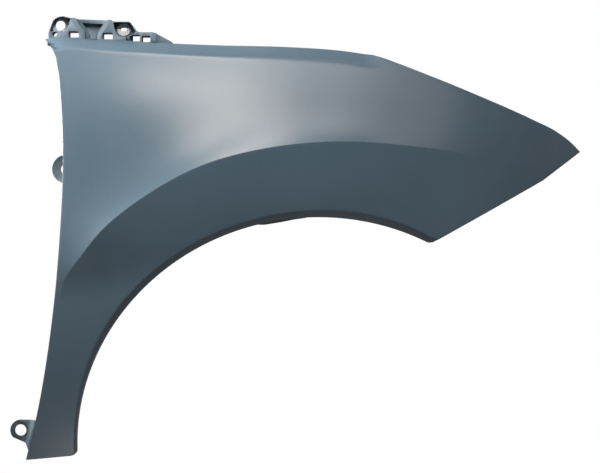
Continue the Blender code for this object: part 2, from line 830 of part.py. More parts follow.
def main():
    for leftover in list(bpy.data.objects):
        bpy.data.objects.remove(leftover)
    parts = bpy.data.collections.new("car_fender")
    cutters = bpy.data.collections.new("cutters")
    bpy.context.scene.collection.children.link(parts)
    bpy.context.scene.collection.children.link(cutters)

    edges, crease = side_lines()
    door = edges[0]
    arch = arch_line(door[0], crease[-1])
    columns = surface_columns(edges, crease, arch)
    panel = make_skin("fender_panel", columns, parts)

    rear_corner = columns[sum(run[0] for run in COLUMN_RUNS[:DOOR_RUNS])][-1]
    bracket = make_bracket(door[-1], rear_corner.y + BRACKET_SETBACK, cutters)
    lug_z = rear_corner.z - CORNER_LUG_DROP
    lug_place = (edge_at_height(door, lug_z), lug_z)
    lug = make_corner_lug(lug_place, side_inset(*lug_place) + 2 * WALL, cutters)
    side_tab, side_drill = make_side_tab(door, cutters)
    lower_tab, lower_drill = make_lower_tab(door, cutters)
    arch_tab = make_arch_tab(columns, cutters)
    for solid in (bracket, lug, side_tab, lower_tab, arch_tab):
        combine(panel, solid, "UNION")
    for drill in (side_drill, lower_drill):
        combine(panel, drill, "DIFFERENCE")
    finish(panel)

    # The origin lies on the lower tab's front face, half way across the ring beside its hole
    centre = lower_tab_centre(door)
    ring_middle = (LOWER_TAB_RADIUS + LOWER_TAB_HOLE_RADIUS) / 2
    fixing = Vector((centre.x - ring_middle, lower_tab_face_inset(door), centre.y))
    car_frame = bpy.data.objects.new("car_frame", None)
    car_frame.location = -fixing
    parts.objects.link(car_frame)
    for piece in (*parts.objects, *cutters.objects):
        if piece is not car_frame:
            piece.parent = car_frame


main()
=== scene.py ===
# %% [markdown]
# A moulded car fender.
# The object is the right front fender of a family car, moulded in one piece in a satin blue-grey
# plastic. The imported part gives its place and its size. This lesson models the same panel finer,
# with soft creases and rounded edges, gives it the finish of bare moulded plastic, and lights it
# in a plain studio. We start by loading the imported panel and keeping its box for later.

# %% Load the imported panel
import math

import bpy
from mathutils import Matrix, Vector
from mathutils.geometry import interpolate_bezier


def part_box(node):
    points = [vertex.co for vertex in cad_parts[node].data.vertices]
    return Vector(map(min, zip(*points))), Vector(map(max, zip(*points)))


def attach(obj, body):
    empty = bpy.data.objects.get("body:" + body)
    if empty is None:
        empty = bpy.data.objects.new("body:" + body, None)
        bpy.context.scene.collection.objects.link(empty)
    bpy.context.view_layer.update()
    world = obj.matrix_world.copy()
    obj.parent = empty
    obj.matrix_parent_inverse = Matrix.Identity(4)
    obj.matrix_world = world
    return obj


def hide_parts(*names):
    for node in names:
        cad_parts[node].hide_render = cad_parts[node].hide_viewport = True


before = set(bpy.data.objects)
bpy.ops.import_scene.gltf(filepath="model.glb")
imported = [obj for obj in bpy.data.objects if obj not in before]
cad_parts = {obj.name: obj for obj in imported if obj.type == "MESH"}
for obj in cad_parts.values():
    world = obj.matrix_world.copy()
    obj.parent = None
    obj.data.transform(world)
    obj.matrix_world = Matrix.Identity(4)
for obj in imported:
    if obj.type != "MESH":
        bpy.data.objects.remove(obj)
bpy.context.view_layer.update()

PANEL_NODE = "fender_panel"
PANEL_BODY = "root"
PLASTIC_SLOT = "moulded_plastic"

# %% [markdown]
# The sizes of the panel.
# A body side is drawn from a few lines: the door edge, the hood edge, the lamp edge, the crease of
# the flare and the wheel arch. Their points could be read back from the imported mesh, but then the
# finer panel would only copy its facets. Here the same lines are drawn again with more points on
# them. All lengths are metres. X runs forward, an inset counts inward from the widest plane of the
# body side, and Z runs up, both X and Z from the wheel's axle line.

# %% Name the sizes of the side
WALL = 0.003
ARCH_HALF_WIDTH = 0.417
ARCH_RISE = 0.395
ARCH_DROP = 0.009
ARCH_FOOT_ANGLE = math.radians(182.0)
ARCH_FRONT_ANGLE = math.radians(62.2)
ARCH_PIECES = 360
FOOT_CORNER_RADIUS = 0.008
BUMPER_CORNER_RADIUS = 0.005

HOOD_HEIGHT = 0.7022
DOOR_EDGE = (
    (-0.0860, -0.0310),
    (-0.0655, 0.0480),
    (-0.0477, 0.1420),
    (-0.0345, 0.2410),
    (-0.0254, 0.3420),
)
DOOR_TOP = (
    (-0.0222, 0.3220),
    (-0.0242, 0.5025),
    (-0.0300, 0.6885),
    (-0.0375, 0.8329),
    (-0.0474, 0.9300),
    (-0.0663, 1.0000),
)
HOOD_REAR = ((-0.0510, 0.0023), (0.0320, -0.0022))
HOOD_FRONT = ((-0.1800, -0.0122), (-0.0530, -0.0157), (0.0520, -0.0232), (0.0940, -0.0292))
LAMP_CORNER = (0.4845, 0.5087)
LAMP_EDGE = (
    (0.0717, 0.0022),
    (0.2177, 0.0055),
    (0.4789, 0.0107),
    (0.7503, 0.0151),
    (0.8745, 0.0153),
    (0.9578, 0.0080),
)
CREASE_REAR = (
    (-0.0735, -0.0300),
    (-0.0565, 0.0390),
    (-0.0363, 0.1590),
    (-0.0250, 0.2490),
    (-0.0128, 0.2850),
    (0.0084, 0.3127),
    (0.0467, 0.3604),
    (0.1221, 0.4214),
)
CREASE_FRONT = (
    (-0.2021, 0.4725),
    (-0.0987, 0.5016),
    (0.0291, 0.5153),
    (0.1376, 0.5112),
    (0.2795, 0.4920),
    (0.4047, 0.4532),
)
print("arch", 2 * ARCH_HALF_WIDTH, "m across, hood corner", HOOD_HEIGHT, "m above the axle")

# %% [markdown]
# Smooth lines through a few points.
# A moulder's drawing gives each edge as a smooth curve through a handful of points. A Bezier
# stretch between each pair of points does the same here. Its handles lie along the way from the
# point before to the point after, so the line turns without a kink.

# %% Draw the edges and the crease
LINE_PIECES = 40


def smooth_line(points, pieces=LINE_PIECES):
    """A smooth curve through the points, as a dense run of short straights."""
    knots = [Vector(point) for point in points]
    tangents = []
    for index, knot in enumerate(knots):
        before = knots[max(index - 1, 0)]
        after = knots[min(index + 1, len(knots) - 1)]
        lead = (knot - before).length
        follow = (after - knot).length
        if lead == 0 or follow == 0:
            tangents.append((after - before).normalized())
            continue
        turn = (after - knot) * lead / follow + (knot - before) * follow / lead
        tangents.append(turn.normalized())
    line = [knots[0]]
    for index in range(len(knots) - 1):
        reach = (knots[index + 1] - knots[index]).length / 3
        stretch = interpolate_bezier(
            knots[index].to_3d(),
            (knots[index] + tangents[index] * reach).to_3d(),
            (knots[index + 1] - tangents[index + 1] * reach).to_3d(),
            knots[index + 1].to_3d(),
            pieces + 1,
        )
        line.extend(point.to_2d() for point in stretch[1:])
    return line


def moved(outline, place):
    return [(x + place[0], z + place[1]) for x, z in outline]


def side_edges():
    """The door, hood and lamp edges, each from the rear or the foot."""
    rear = -ARCH_HALF_WIDTH
    low = DOOR_EDGE[-1][1]
    top = [(x, low + (HOOD_HEIGHT - low) * share) for x, share in DOOR_TOP]
    door = moved([*DOOR_EDGE, *top], (rear, 0))
    hood = [door[-1], *moved(HOOD_REAR, (rear, HOOD_HEIGHT))]
    hood += moved(HOOD_FRONT, (0, HOOD_HEIGHT))
    start = Vector(hood[-1])
    corner = Vector(LAMP_CORNER)
    lamp = [start.lerp(corner, share) + Vector((0, rise)) for share, rise in LAMP_EDGE]
    return [smooth_line(points) for points in (door, hood, [start, *lamp, corner])]


door_edge, hood_edge, lamp_edge = side_edges()
crease_line = smooth_line([*moved(CREASE_REAR, (-ARCH_HALF_WIDTH, 0)), *CREASE_FRONT])
print("points on the door, hood and lamp edges:", len(door_edge), len(hood_edge), len(lamp_edge))

# %% [markdown]
# The wheel arch.
# The arch is a flat ellipse round the axle. Its two ends meet the foot and the bumper edge in
# small rounded corners, as a mould has no sharp ones. A corner is rounded by sliding between the
# straight before it and the straight after it, which is the curve that a draughtsman would sketch.

# %% Draw the wheel arch
def corner_arc(before, corner, after, radius, pieces=8):
    """Points round a corner, between two places a radius away from it."""
    start = corner + (before - corner).normalized() * radius
    end = corner + (after - corner).normalized() * radius
    points = []
    for index in range(pieces + 1):
        share = index / pieces
        points.append(start.lerp(corner, share).lerp(corner.lerp(end, share), share))
    return points


def arch_point(angle, outward=0.0):
    """A point of the arch, or of a like curve that lies further out."""
    x = (ARCH_HALF_WIDTH + outward) * math.cos(angle)
    return Vector((x, (ARCH_RISE + outward) * math.sin(angle) - ARCH_DROP))


def arch_line(foot_end, bumper_end):
    """The arch from the foot's edge to the bumper's edge, with both corners rounded."""
    foot_angle = ARCH_FOOT_ANGLE - FOOT_CORNER_RADIUS / ARCH_HALF_WIDTH
    bumper_angle = ARCH_FRONT_ANGLE + BUMPER_CORNER_RADIUS / ARCH_HALF_WIDTH
    foot_corner = arch_point(ARCH_FOOT_ANGLE)
    line = corner_arc(foot_end, foot_corner, arch_point(foot_angle), FOOT_CORNER_RADIUS)
    for index in range(1, ARCH_PIECES):
        line.append(arch_point(foot_angle + (bumper_angle - foot_angle) * index / ARCH_PIECES))
    bumper_corner = arch_point(ARCH_FRONT_ANGLE)
    line += corner_arc(arch_point(bumper_angle), bumper_corner, bumper_end, BUMPER_CORNER_RADIUS)
    return line


arch_edge = arch_line(door_edge[0], crease_line[-1])
print("points on the arch:", len(arch_edge))

# %% [markdown]
# The curvature of the side.
# A body side is widest at its waist. It leans in above and below, and sweeps in towards the nose.
# Round the arch the flare stands out to its crease, and above the crease the step dies away in a
# soft hollow. These are plain formulas of X and Z, so any point of the side can be worked out.

# %% Work out how far in the side lies
WAIST_HEIGHT = 0.230
SIDE_RADIUS = 1.534
TUCK_RADIUS = 1.890
NOSE_START = -0.060
NOSE_REACH = 0.540
NOSE_SWEEP = 0.175
NOSE_POWER = 2.2
REAR_RADIUS = 18.0
ROLL_HEIGHT = 0.580
ROLL_RADIUS = 2.4

CREASE_STEP = 0.0218
CREASE_SPREAD = 0.052
FLARE_RETURN = 1.1
CREASE_FADE_IN = (0.222, 0.350)
CREASE_FADE_OUT = (0.680, 0.940)
CREASE_SAMPLE = 0.01

STRIP_HEIGHT = 0.022
STRIP_SLOPE = 0.80
STRIP_END = 0.116
STRIP_RUN_OUT = 0.040
EDGE_BAND = 0.0085
BAND_LEAN = 0.3
BAND_SHARE = 0.5

LIP_WIDTH = 0.013
LIP_TURN = 0.011
LIP_LEG_SHARE = 0.2
LIP_WIDENS = (0.02, 0.40)


def smooth_step(value, start, end):
    """Rises gently from 0 at start to 1 at end."""
    share = min(max((value - start) / (end - start), 0.0), 1.0)
    return share * share * (3 - 2 * share)


def shoulder_roll(z):
    """How much further in the side rolls near the hood edge."""
    return max(z - ROLL_HEIGHT, 0.0) ** 2 / (2 * ROLL_RADIUS)


def side_inset(x, z):
    """How far in the plain body side lies at a place, without the flare."""
    if z > WAIST_HEIGHT:
        inset = (z - WAIST_HEIGHT) ** 2 / (2 * SIDE_RADIUS) + shoulder_roll(z)
    else:
        inset = (WAIST_HEIGHT - z) ** 2 / (2 * TUCK_RADIUS)
    if x > NOSE_START:
        return inset + NOSE_SWEEP * ((x - NOSE_START) / NOSE_REACH) ** NOSE_POWER
    return inset + (NOSE_START - x) ** 2 / (2 * REAR_RADIUS)


def point_on(line, share):
    """The point at a share of the line's length."""
    lengths = [(after - before).length for before, after in zip(line, line[1:])]
    left = share * sum(lengths)
    for index, length in enumerate(lengths):
        if left <= length:
            return line[index].lerp(line[index + 1], left / length)
        left -= length
    return line[-1].copy()


def height_on(line, x):
    """Height of a line that runs along X, held level past its ends."""
    if x <= line[0].x:
        return line[0].y
    for start, end in zip(line, line[1:]):
        if start.x <= x <= end.x and end.x > start.x:
            return start.lerp(end, (x - start.x) / (end.x - start.x)).y
    return line[-1].y


def edge_at_height(line, z):
    """Where a line that runs upward passes a height."""
    for start, end in zip(line, line[1:]):
        if start.y <= z <= end.y:
            return start.lerp(end, (z - start.y) / (end.y - start.y)).x
    return line[-1].x


print("the side leans in", round(side_inset(0, HOOD_HEIGHT), 4), "m at the hood edge")

# %% [markdown]
# The panel's own origin.
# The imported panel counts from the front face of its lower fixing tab, where a screw holds it. The
# lines above count from the axle. So the tab's place is worked out from the same lines, and one
# shift then carries every point from the axle to the panel's origin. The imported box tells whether
# the shift is right.

# %% Find the shift from the axle to the panel's origin
LOWER_TAB_HEIGHT = 0.0195
LOWER_TAB_REACH = 0.0238
LOWER_TAB_RADIUS = 0.0179
LOWER_TAB_HOLE_RADIUS = 0.0098
LOWER_TAB_INSET = 0.014

lower_tab_edge = edge_at_height(door_edge, LOWER_TAB_HEIGHT)
lower_tab_centre = Vector((lower_tab_edge - LOWER_TAB_REACH, LOWER_TAB_HEIGHT))
lower_tab_face = side_inset(lower_tab_edge, LOWER_TAB_HEIGHT) + LOWER_TAB_INSET
ring_middle = (LOWER_TAB_RADIUS + LOWER_TAB_HOLE_RADIUS) / 2
AXLE = -Vector((lower_tab_centre.x - ring_middle, lower_tab_face, lower_tab_centre.y))


def place_of(x, inset, z):
    """A place of the side, counted from the panel's own origin."""
    return Vector((x, inset, z)) + AXLE


foot_gap = (place_of(*door_edge[0].to_3d().xzy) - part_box(PANEL_NODE)[0]).z
print("axle at", [round(value, 5) for value in AXLE])
print("foot above the packed box:", round(foot_gap, 5))

# %% [markdown]
# The camera.
# The photograph looks square at the panel from about as far as a person stands. Half the frame's
# width at the panel and the distance give the lens, because both triangles have the same shape.

# %% Set up the camera
CAMERA_DISTANCE = 2.4
FRAME_WIDTH = 1.02
SENSOR_WIDTH = 36.0
LOOK_AT = (-0.0323, 0.35275)

camera_settings = bpy.data.cameras.new("camera")
camera_settings.sensor_width = SENSOR_WIDTH
camera_settings.lens = SENSOR_WIDTH * CAMERA_DISTANCE / FRAME_WIDTH
camera = bpy.data.objects.new("camera", camera_settings)
bpy.context.scene.collection.objects.link(camera)
camera.location = place_of(LOOK_AT[0], -CAMERA_DISTANCE, LOOK_AT[1])
camera.rotation_euler = (math.pi / 2, 0, 0)
bpy.context.scene.camera = camera
print("lens", round(camera_settings.lens, 1), "mm")

# %% [markdown]
# How the columns of the panel run.
# The side is a loft between the arch, the crease and the outer edge. A column of points starts at
# the arch, crosses the crease and ends on the outer edge, and the columns fan out from the leg
# round to the nose. Each run below says how many columns it has and where it ends on the three
# lines. Columns that end exactly on the two corners of the outline keep those corners sharp.

# %% Share the columns out along the lines
COLUMN_RUNS = (
    (3, 0.02, 0.012, 0.012),
    (40, 0.39, 0.229, 0.358),
    (30, 0.65, 0.375, 0.523),
    (25, 0.88, 0.446, 0.604),
    (30, 1.00, 0.483, 0.646),
    (80, 2.00, 0.744, 0.857),
    (60, 2.95, 0.980, 0.975),
    (3, 3.00, 1.000, 1.000),
)
REAR_CORNER_COLUMN = sum(run[0] for run in COLUMN_RUNS[:5])


def column_places():
    """For each column, its places on the outer edge, the crease and the arch."""
    places = [(0.0, 0.0, 0.0)]
    for count, *ends in COLUMN_RUNS:
        start = places[-1]
        for step in range(1, count + 1):
            places.append(tuple(a + (b - a) * step / count for a, b in zip(start, ends)))
    return places


print("columns:", len(column_places()))

# %% [markdown]
# The points of one column.
# From the arch outward a column has four stretches: the dark chamfer of the lip, the flare, the
# body above the crease and the sloping strip under the hood edge. They meet in three corners. A
# moulding has no knife edges, so each corner gets a small bend, sharp at the crease, which the
# photograph shows as a crisp line, and softer at the strip.

# %% Work out the points of one column
LIP_BEND = 0.0012
CREASE_BEND = 0.0012
STRIP_BEND = 0.0070
BEND_SHARE = 0.15
STRIP_SHARE = 0.35
BEND_PIECES = 4
FLARE_ROWS = 14
BODY_ROWS = 32
BODY_ROW_GROWTH = 1.6
LONG_BODY = (0.010, 0.080)


def bend(before, corner, after):
    """A soft bend in place of a corner: points from before round to after."""
    points = []
    for index in range(BEND_PIECES + 1):
        share = index / BEND_PIECES
        points.append(before.lerp(corner, share).lerp(corner.lerp(after, share), share))
    return points


def side_column(outer_place, crease_place, arch_place):
    """Points of the outer surface along one column, from the arch to the outer edge."""
    edges = (door_edge, hood_edge, lamp_edge)
    run = min(int(outer_place), len(edges) - 1)
    edge = point_on(edges[run], outer_place - run)
    fold = point_on(crease_line, crease_place)
    rim = point_on(arch_edge, arch_place)
    outward = (edge - fold).normalized()
    ahead = point_on(crease_line, min(crease_place + CREASE_SAMPLE, 1))
    behind = point_on(crease_line, max(crease_place - CREASE_SAMPLE, 0))
    across = abs(outward.cross((ahead - behind).normalized()))
    step = CREASE_STEP * smooth_step(crease_place, *CREASE_FADE_IN)
    step *= 1 - smooth_step(crease_place, *CREASE_FADE_OUT)

    lip_share = LIP_LEG_SHARE + (1 - LIP_LEG_SHARE) * smooth_step(arch_place, *LIP_WIDENS)
    lip = rim + (fold - rim).normalized() * LIP_WIDTH * lip_share
    rise = max(edge.y - height_on(hood_edge, edge.x) + STRIP_HEIGHT, 0.0)
    slope = STRIP_SLOPE * (1 - smooth_step(edge.x, STRIP_END - STRIP_RUN_OUT, STRIP_END))
    band = max(EDGE_BAND, rise / max(outward.y, BAND_LEAN))
    band = min(band, (edge - fold).length * BAND_SHARE)
    shoulder = edge - outward * band

    def flare_at(share):
        place = lip.lerp(fold, share)
        inset = side_inset(*place) - step * (1 - FLARE_RETURN * (1 - share))
        return place_of(place.x, inset, place.y)

    def body_at(share):
        place = fold.lerp(shoulder, share)
        away = (place - fold).length * across
        inset = side_inset(*place) - step * math.exp(-away / CREASE_SPREAD)
        return place_of(place.x, inset, place.y)

    lip_corner = flare_at(0)
    start = place_of(rim.x, lip_corner.y - AXLE.y + LIP_TURN * lip_share, rim.y)
    away = (edge - fold).length * across
    drop = step * math.exp(-away / CREASE_SPREAD)
    end = place_of(edge.x, side_inset(*edge) - drop + slope * rise, edge.y)

    flare_length = (fold - lip).length
    body_length = (shoulder - fold).length
    lip_bend = LIP_BEND / flare_length
    flare_bend = CREASE_BEND / flare_length
    body_bend = min(CREASE_BEND / body_length, BEND_SHARE)
    strip_bend = min(STRIP_BEND / body_length, BEND_SHARE)
    growth = 1 + (BODY_ROW_GROWTH - 1) * smooth_step(body_length, *LONG_BODY)

    before_lip = lip_corner.lerp(start, LIP_BEND / (start - lip_corner).length)
    column = [start, *bend(before_lip, lip_corner, flare_at(lip_bend))]
    for row in range(1, FLARE_ROWS + 1):
        share = row / (FLARE_ROWS + 1)
        column.append(flare_at(lip_bend + (1 - lip_bend - flare_bend) * share))
    column += bend(flare_at(1 - flare_bend), flare_at(1), body_at(body_bend))
    for row in range(1, BODY_ROWS + 1):
        share = (row / (BODY_ROWS + 1)) ** growth
        column.append(body_at(body_bend + (1 - body_bend - strip_bend) * share))
    shoulder_corner = body_at(1)
    turn_share = min(STRIP_BEND / (end - shoulder_corner).length, STRIP_SHARE)
    after_strip = shoulder_corner.lerp(end, turn_share)
    column += [*bend(body_at(1 - strip_bend), shoulder_corner, after_strip), end]
    return column


columns = [side_column(*places) for places in column_places()]
rows_in_column = len(columns[0])
rear_corner = columns[REAR_CORNER_COLUMN][-1]
print("points in a column:", rows_in_column)

# %% [markdown]
# The outer sheet.
# The sheet is one grid primitive with a row and a column for each of the points. Its points are
# then laid onto the loft. The other way, listing every face by hand, gives the same sheet with
# more code, and a grid keeps its rows in order for the steps that follow.

# %% Lay a grid onto the loft
def deselect_all():
    bpy.ops.object.select_all(action="DESELECT")


def select_only(piece):
    deselect_all()
    piece.select_set(True)
    bpy.context.view_layer.objects.active = piece


def new_piece(name):
    """Names the primitive that was just added, and its mesh."""
    piece = bpy.context.object
    piece.name = name
    piece.data.name = name
    return piece


def lay_grid(name, point_columns):
    """A grid whose points are laid onto the columns, one column of points after another."""
    across = len(point_columns)
    along = len(point_columns[0])
    deselect_all()
    bpy.ops.mesh.primitive_grid_add(x_subdivisions=across - 1, y_subdivisions=along - 1, size=1)
    sheet = new_piece(name)
    for vertex in sheet.data.vertices:
        column = round((vertex.co.x + 0.5) * (across - 1))
        row = round((vertex.co.y + 0.5) * (along - 1))
        vertex.co = point_columns[column][row]
    return sheet


skin = lay_grid("fender_skin", columns)
print("grid:", len(skin.data.vertices), "points", len(skin.data.polygons), "faces")

# %% [markdown]
# The turned-in edges.
# Every edge of the real panel is turned inward, which stiffens it and hides the wall. The border
# of the sheet is extruded straight in by the deepest flange. Each point is then drawn back to the
# depth of its own edge, because the arch, the hood and the door have different depths.

# %% Turn the edges inward
ARCH_FLANGE = 0.022
DOOR_FLANGE = 0.014
HOOD_FLANGE = 0.020
LAMP_FLANGE = 0.016
BUMPER_FLANGE = 0.014
FOOT_FLANGE = 0.012
OUTER_FLANGES = (DOOR_FLANGE, HOOD_FLANGE, LAMP_FLANGE)
KEY_DIGITS = 5


def border_key(point):
    """A place in the plane of the side, which an edge shares with its turned-in points."""
    return round(point.x, KEY_DIGITS), round(point.z, KEY_DIGITS)


def flange_depth(column, row):
    """Depth that the edge at a place of the sheet's border is turned inward."""
    depths = []
    if row == 0:
        depths.append(ARCH_FLANGE)
    if row == rows_in_column - 1:
        run = min(int(column_places()[column][0]), len(OUTER_FLANGES) - 1)
        depths.append(OUTER_FLANGES[run])
    if column == 0:
        depths.append(FOOT_FLANGE)
    if column == len(columns) - 1:
        depths.append(BUMPER_FLANGE)
    return sum(depths) / len(depths)


def border_depths():
    """Depth of the flange at each place of the border, by the place's key."""
    depths = {}
    last_column = len(columns) - 1
    last_row = rows_in_column - 1
    for column in range(len(columns)):
        for row in range(rows_in_column):
            if column in (0, last_column) or row in (0, last_row):
                depths[border_key(columns[column][row])] = flange_depth(column, row)
    return depths


def turn_edges_in(sheet):
    """Extrudes the border of the sheet inward, and returns how many points are turned in."""
    select_only(sheet)
    bpy.ops.object.mode_set(mode="EDIT")
    bpy.ops.mesh.select_mode(type="EDGE")
    bpy.ops.mesh.select_all(action="DESELECT")
    bpy.ops.mesh.select_non_manifold()
    bpy.ops.mesh.extrude_region_move(TRANSFORM_OT_translate={"value": (0, ARCH_FLANGE, 0)})
    bpy.ops.object.mode_set(mode="OBJECT")
    depths = border_depths()
    turned = [vertex for vertex in sheet.data.vertices if vertex.select]
    for vertex in turned:
        vertex.co.y += depths[border_key(vertex.co)] - ARCH_FLANGE
    return len(turned)


print("border points turned in:", turn_edges_in(skin))

# %% [markdown]
# Rounded folds and the wall.
# The folds are rounded by a Bevel that works on the marked edges only, so the fine grid beside
# them stays as it is. Under the rear corner the door edge runs inward almost along the columns,
# where a Bevel would slide far, so the fold fades out and stays plain. Solidify then gives the
# sheet its wall of three millimetres, inward, and a last small Bevel breaks the rim of the flanges.
# The modifiers are applied one after another, as each needs the finished mesh of the one before.

# %% Round the folds and give the sheet its wall
FOLD_RADIUS = 0.0012
HALF_FOLD = 0.5
FOLD_SEGMENTS = 4
STEEP_EDGE = (0.40, 0.62)
RIM_RADIUS = 0.0007
RIM_SEGMENTS = 2
RIM_ANGLE = math.radians(60)
SHARP_ANGLE = math.radians(40)


def apply_modifier(piece, modifier):
    select_only(piece)
    bpy.ops.object.modifier_apply(modifier=modifier.name)


def mark_folds(sheet):
    """Marks the edges between the sheet and its flanges, and returns how many there are."""
    depths = border_depths()
    on_border = [
        None if vertex.select else depths.get(border_key(vertex.co))
        for vertex in sheet.data.vertices
    ]
    weights = sheet.data.attributes.new("bevel_weight_edge", "FLOAT", "EDGE")
    marked = 0
    for edge in sheet.data.edges:
        ends = [on_border[index] for index in edge.vertices]
        if None not in ends:
            start, end = (sheet.data.vertices[index].co for index in edge.vertices)
            climb = smooth_step(abs((end - start).normalized().y), *STEEP_EDGE)
            fold = HALF_FOLD if min(ends) >= HOOD_FLANGE else 1.0
            weights.data[edge.index].value = fold * (1 - climb)
            marked += 1
    return marked


def round_folds(sheet):
    fold = sheet.modifiers.new("folds", "BEVEL")
    fold.width = FOLD_RADIUS
    fold.segments = FOLD_SEGMENTS
    fold.limit_method = "WEIGHT"
    apply_modifier(sheet, fold)


def give_wall(sheet):
    wall = sheet.modifiers.new("wall", "SOLIDIFY")
    wall.thickness = WALL
    wall.offset = -1
    wall.use_even_offset = False
    wall.use_quality_normals = True
    apply_modifier(sheet, wall)


def break_edges(piece, width, angle):
    """Rounds the sharp edges of a piece by a small width."""
    rounding = piece.modifiers.new("edges", "BEVEL")
    rounding.width = width
    rounding.segments = RIM_SEGMENTS
    rounding.limit_method = "ANGLE"
    rounding.angle_limit = angle
    rounding.use_clamp_overlap = True
    apply_modifier(piece, rounding)


def shade(piece):
    select_only(piece)
    bpy.ops.object.shade_smooth_by_angle(angle=SHARP_ANGLE)


def make_normals_consistent(piece):
    select_only(piece)
    bpy.ops.object.mode_set(mode="EDIT")
    bpy.ops.mesh.select_all(action="SELECT")
    bpy.ops.mesh.normals_make_consistent(inside=False)
    bpy.ops.object.mode_set(mode="OBJECT")


def face_outward(sheet):
    """Turns the sheet's faces so that its outer side looks away from the car."""
    middle = max(sheet.data.polygons, key=lambda face: face.area)
    if middle.normal.y > 0:
        sheet.data.flip_normals()


print("edges marked as folds:", mark_folds(skin))
make_normals_consistent(skin)
face_outward(skin)
round_folds(skin)
give_wall(skin)
break_edges(skin, RIM_RADIUS, RIM_ANGLE)
shade(skin)
print("skin:", len(skin.data.polygons), "faces")

# %% [markdown]
# Flat pieces from an outline.
# The bracket, its pockets and the tabs are flat shapes with a thickness. A circle primitive with
# as many points as the outline has is the start. Its points are laid onto the outline and the
# face is extruded inward in edit mode.

# %% Make a helper for flat pieces
CUT_CLEARANCE = 0.004
RING_SIDES = 64


def extruded_face(name, places, way):
    """A flat face whose points are laid onto the places, extruded along a way."""
    deselect_all()
    bpy.ops.mesh.primitive_circle_add(vertices=len(places), fill_type="NGON")
    piece = new_piece(name)
    for vertex, place in zip(piece.data.vertices, places):
        vertex.co = place
    bpy.ops.object.mode_set(mode="EDIT")
    bpy.ops.mesh.select_all(action="SELECT")
    bpy.ops.mesh.extrude_region_move(TRANSFORM_OT_translate={"value": way})
    bpy.ops.object.mode_set(mode="OBJECT")
    make_normals_consistent(piece)
    return piece


def plate(name, outline, front, back):
    """A flat outline in the plane of the side, from one inset to another."""
    return extruded_face(name, [place_of(x, front, z) for x, z in outline], (0, back - front, 0))


def combine(target, tool, operation):
    """Cuts the tool out of the target, joins them or keeps what they share."""
    step = target.modifiers.new(tool.name, "BOOLEAN")
    step.operation = operation
    step.object = tool
    apply_modifier(target, step)
    bpy.data.objects.remove(tool)


def ring(centre, radius, sides=RING_SIDES):
    turns = (2 * math.pi * index / sides for index in range(sides))
    return [(centre[0] + radius * math.cos(a), centre[1] + radius * math.sin(a)) for a in turns]


def rounded(corners, radius, pieces=6, corner_share=0.45):
    """A closed outline with each corner rounded off."""
    points = []
    knots = [Vector(corner) for corner in corners]
    for index, corner in enumerate(knots):
        before = knots[index - 1]
        after = knots[(index + 1) % len(knots)]
        shortest = min((before - corner).length, (after - corner).length)
        reach = min(radius, shortest * corner_share)
        points += corner_arc(before, corner, after, reach, pieces)
    return [tuple(point) for point in points]


def oblong(left, right, bottom, top, radius):
    return rounded(((left, bottom), (right, bottom), (right, top), (left, top)), radius)


def slot_outline(centre, length, width):
    """A slot with round ends that lies along X."""
    half = (length - width) / 2
    points = []
    for index in range(RING_SIDES):
        turn = 2 * math.pi * (index + 0.5) / RING_SIDES
        side = half if math.cos(turn) > 0 else -half
        x = centre[0] + side + width / 2 * math.cos(turn)
        points.append((x, centre[1] + width / 2 * math.sin(turn)))
    return points


print("helpers for flat pieces are ready")

# %% [markdown]
# The rear bracket.
# Above the hood edge the moulding carries a deep bracket that bolts to the body's upper rail. It
# is a block opened by pockets from the front, so that only ribs are left between them, and by four
# square windows. A block that is cut, pocket by pocket, follows the real mould, where each pocket
# is a core. The hollows behind keep the walls thin, as a moulder wants them.

# %% Shape the rear bracket
BRACKET_FROM_CORNER = (0.0270, 0.0242)
BRACKET_SETBACK = 0.005
BRACKET_DEPTH = 0.022
BRACKET_FLOOR = 0.004
BRACKET_WEB = 0.008
BLOCK_CORNER = 0.003
POCKET_CORNER = 0.002
WEB_CORNER = 0.004
WINDOW_CORNER = 0.0015
BRACKET_OUTLINE = (
    (-0.0223, -0.0150),
    (-0.0187, -0.0044),
    (-0.0134, 0.0099),
    (-0.0046, 0.0157),
    (0.0042, 0.0169),
    (0.0184, 0.0136),
    (0.0233, 0.0141),
    (0.0272, 0.0125),
    (0.0855, 0.0101),
    (0.0896, 0.0104),
    (0.0926, 0.0071),
    (0.1223, 0.0069),
    (0.1252, 0.0038),
    (0.1356, -0.0107),
    (0.1421, -0.0119),
    (0.1645, -0.0118),
    (0.1845, -0.0221),
    (0.1990, -0.0300),
    (0.1990, -0.0440),
    (-0.0200, -0.0370),
)
ROUND_POCKET = (
    (-0.0192, -0.0104),
    (-0.0174, -0.0047),
    (-0.0123, 0.0090),
    (-0.0041, 0.0144),
    (0.0041, 0.0156),
    (0.0178, 0.0124),
    (0.0141, 0.0009),
    (0.0095, -0.0104),
)
WEB_POCKET = (
    (0.0290, 0.0186),
    (0.0293, 0.0097),
    (0.0334, 0.0000),
    (0.0428, -0.0097),
    (0.0442, -0.0320),
    (0.0643, -0.0320),
    (0.0647, -0.0147),
    (0.0723, -0.0051),
    (0.0825, 0.0064),
    (0.0846, 0.0186),
)
FUNNEL_POCKET = (
    (0.0375, 0.0058),
    (0.0746, 0.0037),
    (0.0624, -0.0124),
    (0.0613, -0.0221),
    (0.0500, -0.0221),
    (0.0491, -0.0150),
)
PAD_POCKET = (
    (0.0938, 0.0058),
    (0.1216, 0.0056),
    (0.1241, 0.0030),
    (0.1334, -0.0112),
    (0.1244, -0.0172),
    (0.1120, -0.0203),
    (0.1032, -0.0177),
    (0.0972, -0.0106),
    (0.0947, -0.0027),
)
SHADE_POCKET = (0.1156, 0.1300, -0.0270, -0.0180)
SHADE_POCKET_DEPTH = 0.014
END_BLOCK = (0.1597, 0.1702, -0.0300, -0.0133)
